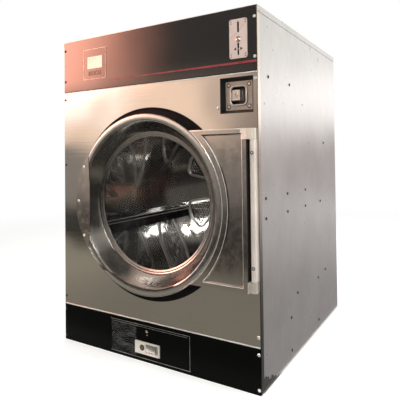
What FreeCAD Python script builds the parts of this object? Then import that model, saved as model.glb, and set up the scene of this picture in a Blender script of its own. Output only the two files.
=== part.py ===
import FreeCAD
import Part
import math
import os

from FreeCAD import Vector

# A coin-operated tumble dryer. Sizes are in millimetres.
# X runs to the right, Y to the back and Z up, from the middle of the base on the floor.
# A depth is measured back from the front face, so a negative depth stands proud of it.

# Cabinet
cabinet_width = 980.0
cabinet_depth = 990.0
cabinet_height = 1350.0
panel_sheet = 1.5
base_thickness = 4.0
post_width = 12.5
post_depth = 20.5
post_wall = 2.0
edge_reveal = 2.0
top_flange = 22.0
fascia_height = 229.0
seam_gap = 3.0
kick_height = 160.0
hem_height = 3.0
hem_proud = 1.5

# Clearances
running_clearance = 0.05
fit_clearance = 0.1
slide_clearance = 0.5
seat_clearance = 0.3

# Door ring, bowl and wing
door_x = 2.0
door_z = 635.0
door_proud = 36.0
door_sheet = 2.0
ring_radius = 358.0
lip_width = 22.5
bowl_depth = 58.0
bowl_round = 8.0
bowl_steps = 6
wing_height = 566.0
field_border = 18.0
field_side_border = 17.0
field_ring_gap = 23.0
field_depth = 5.0
field_bevel = 5.0

# Window
window_radius = 270.5
glass_depth = 30.0
glass_thickness = 6.0
glass_bite = 33.0
gasket_wall = 10.0
gasket_lip = 4.0
retainer_nose = 8.0
retainer_crown = 2.0
retainer_web = 2.0
retainer_beads = 3
retainer_joint = 0.4

# Handle
handle_overhang = 12.5
handle_length = 384.0
handle_width = 82.5
handle_bow = 9.5
handle_thickness = 4.0
handle_screw_inset = 16.0
handle_screw_angle = 24.5

# Door seal and hinge
seal_show = 28.0
seal_tuck = 16.0
seal_thickness = 4.0
mouth_margin = 1.0
hinge_inset = 15.0
hinge_gap = 15.5
hinge_post_width = 19.0
hinge_post_proud = 23.0
hinge_post_round = 5.0
hinge_screw_inset = 47.0
knuckle_radius = 12.0
knuckle_height = 38.0
knuckle_stand_off = 1.0
hinge_pin_radius = 5.0
hinge_pin_bite = 30.0

# Bulkhead and drum
bulkhead_depth = 60.0
bulkhead_sheet = 2.0
bulkhead_rim = 25.0
bulkhead_arm_height = 200.0
drum_gap = 4.0
drum_radius = 400.0
drum_sheet = 1.5
drum_lip = 48.0
drum_back_sheet = 2.0
lifter_count = 3
lifter_angle = 200.0
lifter_height = 75.0
lifter_width = 86.0
lifter_crest = 16.0
lifter_sheet = 2.0
lifter_end_gap = 12.0

# Drum drive
drive_room = 240.0
shaft_flange_radius = 110.0
shaft_flange_thickness = 12.0
shaft_radius = 25.0
shaft_tail = 8.0
beam_gap = 20.0
beam_height = 110.0
beam_depth = 70.0
beam_wall = 4.0
bearing_radius = 45.0
bearing_width = 18.0
bearing_stop = 38.0
pulley_gap = 18.0
pulley_width = 24.0
pulley_flange = 4.0
drum_pulley_radius = 240.0
drum_pulley_rim = 16.0
pulley_web = 8.0
motor_pulley_radius = 38.0
belt_thickness = 5.0
motor_inset = 157.0
motor_z = 120.0
motor_radius = 70.0
motor_length = 200.0
motor_foot_width = 100.0
motor_shaft_radius = 12.0
motor_shaft_bite = 40.0

# Blower and exhaust
blower_reach = 155.0
blower_z = 88.0
blower_radius = 72.0
blower_front = 540.0
blower_width = 100.0
blower_sheet = 1.5
inlet_radius = 50.0
inlet_length = 35.0
fan_radius = 62.0
fan_hub_radius = 18.0
fan_blade = 2.0
fan_blade_width = 16.0
fan_blade_count = 20
fan_plate = 2.0
fan_side_gap = 12.0
fan_shaft_radius = 8.0
fan_shaft_bite = 60.0
blower_motor_radius = 55.0
blower_motor_length = 120.0
blower_foot_width = 80.0
exhaust_inset = 222.0
exhaust_z = 100.0
exhaust_radius = 75.0
exhaust_wall = 1.5
exhaust_collar_length = 60.0
exhaust_stub = 2.0

# Heater
heater_drop = 100.0
heater_height = 120.0
heater_width = 520.0
heater_length = 288.0
heater_sheet = 1.5
element_count = 5
element_radius = 6.0

# Air grille and cable entry in the back panel
grille_rows = 10
grille_columns = 4
grille_slot_width = 100.0
grille_slot_height = 3.5
grille_bridge = 18.0
grille_margin = 14.0
gland_inset = 130.0
gland_drop = 170.0
gland_radius = 13.0
gland_bore = 9.0
gland_flange_radius = 19.0
gland_flange = 10.0
gland_inside = 20.0

# Display and keys
display_inset = 128.0
display_drop = 50.0
display_side = 136.0
display_corner = 4.0
display_plate = 1.0
screen_width = 89.0
screen_height = 53.0
screen_drop = 34.0
screen_flange = 3.0
screen_recess = 0.5
key_count = 4
key_width = 12.0
key_height = 14.0
key_pitch = 19.0
key_drop = 101.0
key_proud = 1.5
key_flange = 1.5
key_length = 12.0
module_margin = 14.0
board_margin = 16.0
board_thickness = 2.0
board_depth = 14.0
standoff_radius = 4.0

# Coin faceplate and selector
coin_inset = 74.0
coin_drop = 40.0
coin_width = 71.0
coin_height = 141.0
coin_corner = 8.0
coin_plate = 3.0
coin_slot_width = 7.0
coin_slot_height = 38.0
coin_slot_drop = 10.0
return_slot_height = 43.0
return_slot_drop = 86.0
selector_width = 59.0
selector_height = 132.0
selector_depth = 92.0
coin_channel_depth = 80.0
return_cup_depth = 26.0
reject_drop = 73.0
reject_radius = 10.0
reject_proud = 4.0
reject_length = 15.0
reject_travel = 4.0
chute_width = 14.0
chute_depth = 38.0
chute_gap = 3.0
chute_wall = 1.5

# Coin vault
vault_post_gap = 5.0
vault_drop = 14.0
vault_width = 133.0
vault_height = 129.0
vault_recess = 20.0
vault_border = 12.0
vault_wall = 2.0
vault_flange = 10.0
vault_length = 240.0
vault_plate_thickness = 3.0
well_width = 60.0
well_height = 64.0
well_corner = 6.0
well_depth = 24.0
well_wall = 1.5
lock_block_width = 34.0
lock_block_height = 38.0
lock_rise = 2.5
lock_radius = 8.5
lock_proud = 1.5
cash_box_wall = 1.5
cash_box_length = 180.0

# Lint drawer
drawer_x = -5.0
drawer_rise = 13.0
drawer_width = 400.0
drawer_height = 132.0
drawer_gap = 2.0
drawer_proud = 1.0
drawer_sheet = 2.0
drawer_return = 12.0
tray_side_gap = 10.0
tray_lift = 7.0
tray_drop = 17.0
tray_sheet = 1.5
tray_length = 440.0
latch_room = 22.0
screen_thickness = 1.5
screen_gap = 0.5
runner_wall = 2.0
runner_height = 56.0
runner_ledge = 14.0
runner_front = 24.0
runner_length = 440.0
stud_rise = 105.0
stud_offset = -7.0
stud_radius = 7.0
stud_height = 4.0

# Drawer latch
latch_offset = -65.0
latch_rise = 43.0
latch_height = 48.0
latch_plate = 3.0
latch_lock_inset = 35.0
latch_lock_radius = 8.25
latch_lock_proud = 1.5
latch_lock_length = 22.0
latch_rib = 8.75
latch_end = 6.0
scoop_width = 65.0
scoop_height = 34.0
scoop_depth = 12.0
scoop_wall = 1.5
paddle_length = 48.0
paddle_gap = 0.8
paddle_thickness = 3.0
paddle_recess = 0.4
paddle_pin_radius = 1.2
paddle_pin_inset = 2.5
paddle_pin_bite = 1.5

# Screws
screw_head_radius = 6.0
screw_head_height = 3.2
screw_shank_radius = 2.0
screw_length = 9.0
hinge_screw_head_radius = 4.0
screw_hold = 5.0
post_screw_inset = 10.5
fascia_screw_drops = (40.0, 181.0)
kick_screw_rises = (18.0, 138.0)
vault_screw_inset = 8.0
vault_screw_rise = 23.0

# Where the screws sit as parts of a panel's height, or of its depth and height
left_screw_parts = (0.037, 0.346, 0.657, 0.966)
right_screw_parts = (0.039, 0.973)
back_screw_parts = (0.044, 0.348, 0.652, 0.956)
side_screw_parts = (
    (0.093, 0.822), (0.311, 0.822), (0.780, 0.653),
    (0.058, 0.496), (0.273, 0.496), (0.491, 0.496),
    (0.058, 0.443), (0.273, 0.443), (0.491, 0.443), (0.712, 0.443),
    (0.375, 0.184), (0.662, 0.178), (0.780, 0.187),
    (0.298, 0.126), (0.298, 0.030), (0.662, 0.031),
)

# Places worked out from the sizes above
half_width = cabinet_width / 2
front = -cabinet_depth / 2
back = cabinet_depth / 2
wall_x = half_width - panel_sheet
inner_x = wall_x - panel_sheet
panel_x = wall_x - edge_reveal
roof_z = cabinet_height - panel_sheet
fascia_z = cabinet_height - fascia_height
seam_z = fascia_z - seam_gap

door = (door_x, door_z)
seal_inner_radius = ring_radius - seal_tuck
seal_outer_radius = ring_radius + seal_show
mouth_radius = seal_inner_radius - mouth_margin
pan_back = -(seal_thickness + seat_clearance)
lip_radius = ring_radius - lip_width
glass_radius = window_radius + glass_bite
bowl_radius = glass_radius + gasket_wall
gasket_inner_radius = window_radius + retainer_nose
gasket_front = glass_depth - gasket_lip
gasket_back = glass_depth + glass_thickness + gasket_lip
bowl_floor = bowl_depth - door_proud
hinge_x = wall_x - hinge_inset
hinge_depth = -(knuckle_radius + knuckle_stand_off)
wing_right = hinge_x - hinge_gap
wing_z = (door_z - wing_height / 2, door_z + wing_height / 2)
post_z = (wing_z[0] + knuckle_height + seat_clearance, wing_z[1] - knuckle_height - seat_clearance)
handle_radius = ring_radius + handle_overhang
handle_screw_radius = handle_radius - handle_screw_inset

drum_front = bulkhead_depth + bulkhead_sheet + drum_gap
drum_end = cabinet_depth - drive_room
drum_inner_radius = drum_radius - drum_sheet
flange_end = drum_end + drum_back_sheet + shaft_flange_thickness
beam_front = flange_end + beam_gap
beam_end = beam_front + beam_depth
pulley_front = beam_end + pulley_gap
pulley_end = pulley_front + pulley_width
motor_end = pulley_front - pulley_gap
motor_x = inner_x - motor_inset
exhaust_x = exhaust_inset - inner_x
blower_x = exhaust_x + blower_reach
blower_end = blower_front + blower_width

display_x = (display_inset - half_width, display_inset - half_width + display_side)
display_mid = (display_x[0] + display_x[1]) / 2
display_top = cabinet_height - display_drop
screen_top = display_top - screen_drop
key_top = display_top - key_drop
coin_x = half_width - coin_inset
coin_top = cabinet_height - coin_drop
reject_z = coin_top - reject_drop
selector_bottom = coin_top - coin_height / 2 - selector_height / 2
vault_x = wall_x - post_width - vault_post_gap - vault_width / 2
vault_top = seam_z - vault_drop
vault_z = vault_top - vault_height / 2
sleeve_width = vault_width - 2 * vault_border
sleeve_height = vault_height - 2 * vault_border
vault_plate_back = vault_recess + vault_plate_thickness
well_back = vault_recess + well_depth + well_wall
lock_x = vault_x - well_width / 2 + lock_block_width / 2
lock_z = vault_z + lock_rise
chute_front = well_back + cash_box_wall + chute_gap

drawer_edges = (drawer_x - drawer_width / 2, drawer_x + drawer_width / 2)
drawer_z = (drawer_rise, drawer_rise + drawer_height)
tray_x = (drawer_edges[0] + tray_side_gap, drawer_edges[1] - tray_side_gap)
tray_z = (drawer_z[0] + tray_lift, drawer_z[1] - tray_drop)
tray_front = drawer_sheet - drawer_proud
tray_end = tray_front + tray_length
latch_left = drawer_x + latch_offset
latch_z = drawer_rise + latch_rise
latch_face = -drawer_proud - latch_plate
latch_lock_x = latch_left + latch_lock_inset
scoop_left = latch_lock_x + latch_lock_radius + latch_rib
scoop_x = (scoop_left, scoop_left + scoop_width)
latch_x = (latch_left, scoop_x[1] + latch_end)
paddle_axis_x = scoop_x[0] + paddle_gap + paddle_pin_inset
paddle_axis_depth = latch_face + paddle_recess + paddle_thickness / 2


def depth(start, end):
    return (front + start, front + end)


def around(middle, size):
    return (middle - size / 2, middle + size / 2)


def block(x, y, z):
    return Part.makeBox(x[1] - x[0], y[1] - y[0], z[1] - z[0], Vector(x[0], y[0], z[0]))


def rounded(x, y, z, radius):
    # A block whose four edges along Y are rounded
    shape = block(x, y, z)
    edges = [e for e in shape.Edges if abs(e.tangentAt(e.FirstParameter).y) > 0.99]
    return shape.makeFillet(radius, edges)


def rod(radius, centre, y):
    return Part.makeCylinder(radius, y[1] - y[0], Vector(centre[0], y[0], centre[1]), Vector(0, 1, 0))


def upright(radius, centre, z):
    return Part.makeCylinder(radius, z[1] - z[0], Vector(centre[0], centre[1], z[0]))


def tube(outer, inner, centre, y):
    return rod(outer, centre, y).cut(rod(inner, centre, y))


def turned(profile, centre, start=0.0, sweep=360.0):
    # Turns (radius, depth) points about the line along Y through centre
    corners = [Vector(centre[0] + radius, front + place, centre[1]) for radius, place in profile]
    face = Part.Face(Part.makePolygon(corners + corners[:1]))
    axis = Vector(centre[0], 0, centre[1])
    shape = face.revolve(axis, Vector(0, 1, 0), sweep)
    shape.rotate(axis, Vector(0, 1, 0), start)
    return shape


def polar(centre, radius, angle):
    turn = math.radians(angle)
    return (centre[0] + radius * math.cos(turn), centre[1] + radius * math.sin(turn))


def arc(start, middle, end):
    return Part.Arc(start, middle, end).toShape()


def line(start, end):
    return Part.LineSegment(start, end).toShape()


def thicken(wire, y):
    return Part.Face(wire).extrude(Vector(0, y, 0))


def fused(first, *others):
    return first.fuse(list(others)).removeSplitter()


def screw(at, facing, head_radius=screw_head_radius, length=screw_length):
    # A domed head on its seat at the given point, with its shank behind it
    profile = [
        Vector(0, 0, screw_head_height),
        Vector(head_radius * 0.65, 0, screw_head_height * 0.8),
        Vector(head_radius, 0, screw_head_height * 0.3),
        Vector(head_radius, 0, 0),
        Vector(screw_shank_radius, 0, 0),
        Vector(screw_shank_radius, 0, -length),
        Vector(0, 0, -length),
    ]
    face = Part.Face(Part.makePolygon(profile + profile[:1]))
    shape = face.revolve(Vector(0, 0, 0), Vector(0, 0, 1), 360)
    shape.Placement = FreeCAD.Placement(Vector(*at), FreeCAD.Rotation(Vector(0, 0, 1), Vector(*facing)))
    return shape


def base_plate():
    return block((-inner_x, inner_x), depth(panel_sheet, cabinet_depth - panel_sheet), (0, base_thickness))


def front_post(side):
    outside = sorted((side * (wall_x - post_width), side * wall_x))
    inside = (outside[0] + post_wall, outside[1] - post_wall)
    upright_z = (base_thickness, roof_z)
    shell = block(outside, depth(panel_sheet, panel_sheet + post_depth), upright_z)
    hollow = depth(panel_sheet + post_wall, panel_sheet + post_depth - post_wall)
    return shell.cut(block(inside, hollow, upright_z))


def side_panel(side):
    sheet = sorted((side * inner_x, side * wall_x))
    return block(sheet, depth(panel_sheet + post_depth, cabinet_depth - panel_sheet), (0, roof_z))


def back_panel():
    sheet_y = depth(cabinet_depth - panel_sheet, cabinet_depth)
    panel = block((-wall_x, wall_x), sheet_y, (0, roof_z))
    slots = []
    heater_z = (cabinet_height - heater_drop - heater_height, cabinet_height - heater_drop)
    step_z = (heater_height - 2 * grille_margin) / (grille_rows - 1)
    step_x = grille_slot_width + grille_bridge
    for row in range(grille_rows):
        for column in range(grille_columns):
            x = (column - (grille_columns - 1) / 2) * step_x
            z = heater_z[0] + grille_margin + row * step_z
            slots.append(block(around(x, grille_slot_width), sheet_y, around(z, grille_slot_height)))
    outlet = rod(exhaust_radius + exhaust_wall + slide_clearance, (exhaust_x, exhaust_z), sheet_y)
    entry = rod(gland_radius + fit_clearance, gland_place(), sheet_y)
    return panel.cut(slots + [outlet, entry])


def top_cover():
    lid = block((-half_width, half_width), depth(0, cabinet_depth), (roof_z, cabinet_height))
    skirt_z = (cabinet_height - top_flange, cabinet_height)
    left = block((-half_width, -wall_x), depth(0, cabinet_depth), skirt_z)
    right = block((wall_x, half_width), depth(0, cabinet_depth), skirt_z)
    return fused(lid, left, right)


def front_panel():
    sheet = block((-panel_x, panel_x), depth(0, panel_sheet), (kick_height, seam_z))
    hem = block((-panel_x, panel_x), depth(-hem_proud, panel_sheet), (kick_height, kick_height + hem_height))
    mouth = rod(mouth_radius, door, depth(-panel_sheet, 2 * panel_sheet))
    vault_x_span = around(vault_x, vault_width + 2 * fit_clearance)
    vault_z_span = around(vault_z, vault_height + 2 * fit_clearance)
    vault = block(vault_x_span, depth(0, panel_sheet), vault_z_span)
    return fused(sheet, hem).cut([mouth, vault])


def control_fascia():
    sheet = block((-panel_x, panel_x), depth(0, panel_sheet), (fascia_z, roof_z))
    module_x = (display_x[0] + module_margin, display_x[1] - module_margin)
    module_z = (display_top - display_side + module_margin, display_top - module_margin)
    module = block(module_x, depth(0, panel_sheet), module_z)
    nose_x = around(coin_x, selector_width + 2 * slide_clearance)
    nose_z = around(coin_top - coin_height / 2, selector_height + 2 * slide_clearance)
    nose = block(nose_x, depth(0, panel_sheet), nose_z)
    return sheet.cut([module, nose])


def kick_panel():
    sheet = block((-panel_x, panel_x), depth(0, panel_sheet), (0, kick_height))
    hole_x = (drawer_edges[0] - drawer_gap, drawer_edges[1] + drawer_gap)
    hole_z = (drawer_z[0] - drawer_gap, drawer_z[1] + drawer_gap)
    return sheet.cut(block(hole_x, depth(0, panel_sheet), hole_z))


def key_places():
    first = display_mid - (key_count - 1) / 2 * key_pitch
    return [first + key_pitch * number for number in range(key_count)]


def key_block(middle, margin, y):
    z = (key_top - key_height - margin, key_top + margin)
    return block(around(middle, key_width + 2 * margin), y, z)


def display_bezel():
    plate_y = depth(-display_plate, 0)
    plate = rounded(display_x, plate_y, (display_top - display_side, display_top), display_corner)
    screen_x = around(display_mid, screen_width + 2 * fit_clearance)
    screen_z = (screen_top - screen_height - fit_clearance, screen_top + fit_clearance)
    holes = [block(screen_x, plate_y, screen_z)]
    holes += [key_block(middle, seat_clearance, plate_y) for middle in key_places()]
    return plate.cut(holes)


def display_window():
    pane_z = (screen_top - screen_height, screen_top)
    pane = block(around(display_mid, screen_width), depth(screen_recess - display_plate, 0), pane_z)
    flange_z = (pane_z[0] - screen_flange, pane_z[1] + screen_flange)
    flange = block(around(display_mid, screen_width + 2 * screen_flange), depth(0, panel_sheet), flange_z)
    return fused(pane, flange)


def key(number):
    middle = key_places()[number]
    face = -display_plate - key_proud
    cap = key_block(middle, 0, depth(face, face + key_length))
    flange = key_block(middle, key_flange, depth(seat_clearance, seat_clearance + key_flange))
    return fused(cap, flange)


def control_board():
    board_x = (display_x[0] - board_margin, display_x[1] + board_margin)
    board_z = (display_top - display_side, display_top)
    board = block(board_x, depth(board_depth, board_depth + board_thickness), board_z)
    pillars = []
    for x in (board_x[0] + standoff_radius, board_x[1] - standoff_radius):
        for z in (board_z[0] + standoff_radius, board_z[1] - standoff_radius):
            pillars.append(rod(standoff_radius, (x, z), depth(panel_sheet, board_depth)))
    return fused(board, *pillars)


def coin_slots(y, slack=0.0):
    # The coin slot above and the return slot below, as cutting blocks
    slot_x = around(coin_x, coin_slot_width + 2 * slack)
    slot_top = coin_top - coin_slot_drop
    return_top = coin_top - return_slot_drop
    coin = block(slot_x, y, (slot_top - coin_slot_height - slack, slot_top + slack))
    returned = block(slot_x, y, (return_top - return_slot_height - slack, return_top + slack))
    return [coin, returned]


def coin_faceplate():
    plate_y = depth(-coin_plate, 0)
    plate = rounded(around(coin_x, coin_width), plate_y, (coin_top - coin_height, coin_top), coin_corner)
    button = rod(reject_radius + seat_clearance, (coin_x, reject_z), plate_y)
    return plate.cut(coin_slots(plate_y) + [button])


def coin_selector():
    body_z = (selector_bottom, selector_bottom + selector_height)
    body = block(around(coin_x, selector_width), depth(0, selector_depth), body_z)
    channel = coin_slots(depth(0, coin_channel_depth))[0]
    cup = coin_slots(depth(0, return_cup_depth))[1]
    pocket_y = depth(0, reject_length + reject_travel + seat_clearance)
    pocket = rod(reject_radius + seat_clearance, (coin_x, reject_z), pocket_y)
    return body.cut([channel, cup, pocket])


def reject_button():
    face = -coin_plate - reject_proud
    button = rod(reject_radius, (coin_x, reject_z), depth(face, reject_length))
    return button.makeChamfer(1.0, [e for e in button.Edges if e.BoundBox.YMax < front + face + 0.1])


def coin_chute():
    chute_z = (vault_z + sleeve_height / 2 + vault_wall, selector_bottom)
    outside = block(around(coin_x, chute_width), depth(chute_front, chute_front + chute_depth), chute_z)
    inside_x = around(coin_x, chute_width - 2 * chute_wall)
    inside = depth(chute_front + chute_wall, chute_front + chute_depth - chute_wall)
    return outside.cut(block(inside_x, inside, chute_z))


def vault_housing():
    # A funnel that narrows to a sleeve, with a flange against the back of the front panel
    mouth = block(around(vault_x, vault_width), depth(0, vault_recess), around(vault_z, vault_height))
    flange_x = (vault_x - vault_width / 2 - vault_flange, vault_x + vault_width / 2)
    flange_z = around(vault_z, vault_height + 2 * vault_flange)
    flange = block(flange_x, depth(panel_sheet, panel_sheet + vault_wall), flange_z)
    outer_x = around(vault_x, sleeve_width + 2 * vault_wall)
    outer_z = around(vault_z, sleeve_height + 2 * vault_wall)
    sleeve = block(outer_x, depth(vault_recess, vault_length), outer_z)
    wide = rectangle(vault_width - 2 * vault_wall, vault_height - 2 * vault_wall, 0)
    narrow = rectangle(sleeve_width, sleeve_height, vault_recess)
    funnel = Part.makeLoft([wide, narrow], True, True)
    bore_y = depth(vault_recess, vault_length - vault_wall)
    bore = block(around(vault_x, sleeve_width), bore_y, around(vault_z, sleeve_height))
    drop_x = around(coin_x, chute_width - 2 * chute_wall)
    drop_y = depth(chute_front + chute_wall, chute_front + chute_depth - chute_wall)
    drop = block(drop_x, drop_y, (vault_z, vault_top))
    return fused(mouth, flange, sleeve).cut([funnel, bore, drop])


def rectangle(width, height, place):
    x = around(vault_x, width)
    z = around(vault_z, height)
    corners = [Vector(a, front + place, b) for a, b in
               ((x[0], z[0]), (x[1], z[0]), (x[1], z[1]), (x[0], z[1]), (x[0], z[0]))]
    return Part.makePolygon(corners)


def vault_plate():
    plate_x = around(vault_x, sleeve_width - 2 * slide_clearance)
    plate_z = around(vault_z, sleeve_height - 2 * slide_clearance)
    plate = block(plate_x, depth(vault_recess, vault_plate_back), plate_z)
    cup_x = around(vault_x, well_width + 2 * well_wall)
    cup_z = around(vault_z, well_height + 2 * well_wall)
    cup = rounded(cup_x, depth(vault_recess, well_back), cup_z, well_corner + well_wall)
    well_y = depth(vault_recess, vault_recess + well_depth)
    well = rounded(around(vault_x, well_width), well_y, around(vault_z, well_height), well_corner)
    bearing = block(around(lock_x, lock_block_width), well_y, around(lock_z, lock_block_height))
    keyway = rod(lock_radius + running_clearance, (lock_x, lock_z), well_y)
    return fused(fused(plate, cup).cut(well), bearing).cut(keyway)


def vault_lock():
    barrel = rod(lock_radius, (lock_x, lock_z), depth(vault_recess - lock_proud, vault_recess + well_depth))
    slot_y = depth(vault_recess - lock_proud, vault_recess + lock_proud)
    return barrel.cut(block(around(lock_x, 1.6), slot_y, around(lock_z, lock_radius)))


def cash_box():
    box_x = around(vault_x, sleeve_width - 4 * slide_clearance)
    box_z = around(vault_z, sleeve_height - 4 * slide_clearance)
    outside = block(box_x, depth(well_back, well_back + cash_box_length), box_z)
    inside_x = (box_x[0] + cash_box_wall, box_x[1] - cash_box_wall)
    inside_y = depth(well_back + cash_box_wall, well_back + cash_box_length - cash_box_wall)
    return outside.cut(block(inside_x, inside_y, (box_z[0] + cash_box_wall, box_z[1])))


def field_wire(inset, place):
    # Outline of the wing's pressed field: a round left edge and three straight ones
    radius = ring_radius + field_ring_gap + inset
    top = wing_z[1] - field_border - inset
    bottom = wing_z[0] + field_border + inset
    right = wing_right - field_side_border - inset
    y = front + place
    upper = Vector(door_x + math.sqrt(radius ** 2 - (top - door_z) ** 2), y, top)
    lower = Vector(door_x + math.sqrt(radius ** 2 - (bottom - door_z) ** 2), y, bottom)
    middle = Vector(door_x + radius, y, door_z)
    upper_right = Vector(right, y, top)
    lower_right = Vector(right, y, bottom)
    edges = [arc(lower, middle, upper), line(upper, upper_right),
             line(upper_right, lower_right), line(lower_right, lower)]
    return Part.Wire(edges)


def door_pan():
    # The ring and the wing as one folded pan, open at the back
    outside = depth(-door_proud, pan_back)
    inside = depth(door_sheet - door_proud, pan_back)
    outer_wing = block((door_x, wing_right), outside, wing_z)
    inner_z = (wing_z[0] + door_sheet, wing_z[1] - door_sheet)
    inner_wing = block((door_x, wing_right - door_sheet), inside, inner_z)
    outer = rod(ring_radius, door, outside).fuse(outer_wing)
    inner = rod(ring_radius - door_sheet, door, inside).fuse(inner_wing)
    tray = thicken(field_wire(-door_sheet, door_sheet / 2 - door_proud), field_depth + door_sheet / 2)
    recess_wires = [field_wire(0, -door_proud), field_wire(field_bevel, field_depth - door_proud)]
    recess = Part.makeLoft(recess_wires, True, True)
    opening = rod(lip_radius, door, outside)
    return outer.cut(inner).fuse(tray).cut([recess, opening])


def dish_section(behind):
    # The bowl's section from the lip to the floor, round at both ends, moved back by its sheet or not at all
    half_run = (lip_radius - bowl_radius) / 2
    half_fall = bowl_depth / 2 - bowl_round
    lean = math.atan2(half_fall, half_run) + math.asin(bowl_round / math.hypot(half_run, half_fall))
    turns = [lean * step / bowl_steps for step in range(bowl_steps + 1)]
    lip_round = bowl_round - behind
    floor_round = bowl_round + behind
    lip_place = bowl_round - door_proud
    floor_place = bowl_floor - bowl_round
    upper = [(lip_radius - lip_round * math.sin(turn), lip_place - lip_round * math.cos(turn))
             for turn in turns]
    lower = [(bowl_radius + floor_round * math.sin(turn), floor_place + floor_round * math.cos(turn))
             for turn in reversed(turns)]
    return upper + lower


def door_bowl():
    # The dish from the lip in to the window, its wall and the flange that backs the gasket
    wall_radius = bowl_radius + door_sheet
    seat_radius = gasket_inner_radius + door_sheet
    wall_start = bowl_floor - bowl_round + math.sqrt((bowl_round + door_sheet) ** 2 - door_sheet ** 2)
    behind = [point for point in reversed(dish_section(door_sheet)) if point[0] > wall_radius]
    return turned(dish_section(0) + [
        (bowl_radius, gasket_back),
        (seat_radius, gasket_back),
        (seat_radius, gasket_back + door_sheet),
        (wall_radius, gasket_back + door_sheet),
        (wall_radius, wall_start),
    ] + behind + [
        (lip_radius + door_sheet, door_sheet - door_proud),
        (lip_radius + door_sheet, -door_proud),
    ], door)


def door_shell():
    axis = (hinge_x, front + hinge_depth)
    knuckle_y = around(axis[1], 2 * knuckle_radius)
    pieces = [door_bowl()]
    bores = []
    for z in ((wing_z[0], wing_z[0] + knuckle_height), (wing_z[1] - knuckle_height, wing_z[1])):
        pieces.append(upright(knuckle_radius, axis, z))
        pieces.append(block((wing_right - door_sheet, hinge_x), knuckle_y, z))
        bores.append(upright(hinge_pin_radius + running_clearance, axis, z))
    return fused(door_pan(), *pieces).cut(bores)


def door_glass():
    return rod(glass_radius, door, depth(glass_depth, glass_depth + glass_thickness))


def glass_gasket():
    outer = bowl_radius - fit_clearance
    groove = glass_radius + fit_clearance
    glass_back = glass_depth + glass_thickness
    return turned([
        (gasket_inner_radius, gasket_front), (outer, gasket_front),
        (outer, gasket_back), (gasket_inner_radius, gasket_back),
        (gasket_inner_radius, glass_back), (groove, glass_back),
        (groove, glass_depth), (gasket_inner_radius, glass_depth),
    ], door)


def glass_retainer():
    # Rounded beads that lead from the bowl in to the glass, in four quarters
    outer = bowl_radius - fit_clearance
    crown = bowl_floor - retainer_crown
    groove = gasket_front - retainer_web
    nose = gasket_inner_radius - seat_clearance
    pitch = (outer - window_radius) / retainer_beads
    section = [(outer, gasket_front), (outer, bowl_floor)]
    for number in range(retainer_beads):
        start = outer - pitch * number
        section += [(start - pitch * 0.2, crown), (start - pitch * 0.6, crown), (start - pitch * 0.85, groove)]
        section.append((start - pitch, groove))
    ring = turned(section + [
        (window_radius, glass_depth - seat_clearance), (nose, glass_depth - seat_clearance),
        (nose, gasket_front),
    ], door)
    joints = []
    for turn in (45, 135):
        joint = block(around(door_x, 3 * outer), depth(crown, glass_depth), around(door_z, retainer_joint))
        joint.rotate(Vector(door_x, 0, door_z), Vector(0, 1, 0), turn)
        joints.append(joint)
    return ring.cut(joints)


def handle_plate():
    half = handle_length / 2
    y = front - door_proud
    tip_x = door_x - math.sqrt(ring_radius ** 2 - half ** 2)
    inner_mid = door_x - handle_radius + handle_width
    inner_tip = inner_mid - handle_bow
    top = door_z + half
    bottom = door_z - half
    outer_low, outer_high = Vector(tip_x, y, bottom), Vector(tip_x, y, top)
    inner_low, inner_high = Vector(inner_tip, y, bottom), Vector(inner_tip, y, top)
    outer_edge = arc(outer_low, Vector(door_x - handle_radius, y, door_z), outer_high)
    inner_edge = arc(inner_high, Vector(inner_mid, y, door_z), inner_low)
    edges = [outer_edge, line(outer_high, inner_high), inner_edge, line(inner_low, outer_low)]
    return thicken(Part.Wire(edges), -handle_thickness)


def handle_screws():
    face = front - door_proud - handle_thickness
    screws = []
    for angle in (-handle_screw_angle, 0, handle_screw_angle):
        x, z = polar(door, handle_screw_radius, 180 + angle)
        screws.append(screw((x, face, z), (0, -1, 0)))
    return Part.makeCompound(screws)


def door_seal():
    return tube(seal_outer_radius, seal_inner_radius, door, depth(-seal_thickness, 0))


def hinge_post():
    post_x = around(hinge_x, hinge_post_width)
    post = block(post_x, depth(-hinge_post_proud, 0), post_z)
    corners = [e for e in post.Edges if e.Length > hinge_post_width * 2 and e.BoundBox.YMax < front - 1]
    post = post.makeFillet(hinge_post_round, corners)
    axis = (hinge_x, front + hinge_depth)
    bore_radius = hinge_pin_radius + fit_clearance
    lower = upright(bore_radius, axis, (post_z[0], post_z[0] + hinge_pin_bite))
    upper = upright(bore_radius, axis, (post_z[1] - hinge_pin_bite, post_z[1]))
    return post.cut([lower, upper])


def hinge_pins():
    axis = (hinge_x, front + hinge_depth)
    lower = upright(hinge_pin_radius, axis, (wing_z[0], post_z[0] + hinge_pin_bite))
    upper = upright(hinge_pin_radius, axis, (post_z[1] - hinge_pin_bite, wing_z[1]))
    return Part.makeCompound([lower, upper])


def bulkhead():
    plate_y = depth(bulkhead_depth, bulkhead_depth + bulkhead_sheet)
    disc = rod(drum_radius + bulkhead_rim, door, plate_y)
    arm = block((-inner_x, inner_x), plate_y, around(door_z, bulkhead_arm_height))
    collar = rod(mouth_radius + bulkhead_sheet, door, depth(panel_sheet, bulkhead_depth))
    mouth = rod(mouth_radius, door, depth(0, bulkhead_depth + bulkhead_sheet))
    return fused(disc, arm, collar).cut(mouth)


def drum_shell():
    rim = drum_radius - drum_lip
    return turned([
        (rim, drum_front), (drum_radius, drum_front),
        (drum_radius, drum_end), (drum_inner_radius, drum_end),
        (drum_inner_radius, drum_front + drum_sheet), (rim, drum_front + drum_sheet),
    ], door)


def drum_back():
    return rod(drum_radius, door, depth(drum_end, drum_end + drum_back_sheet))


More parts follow.
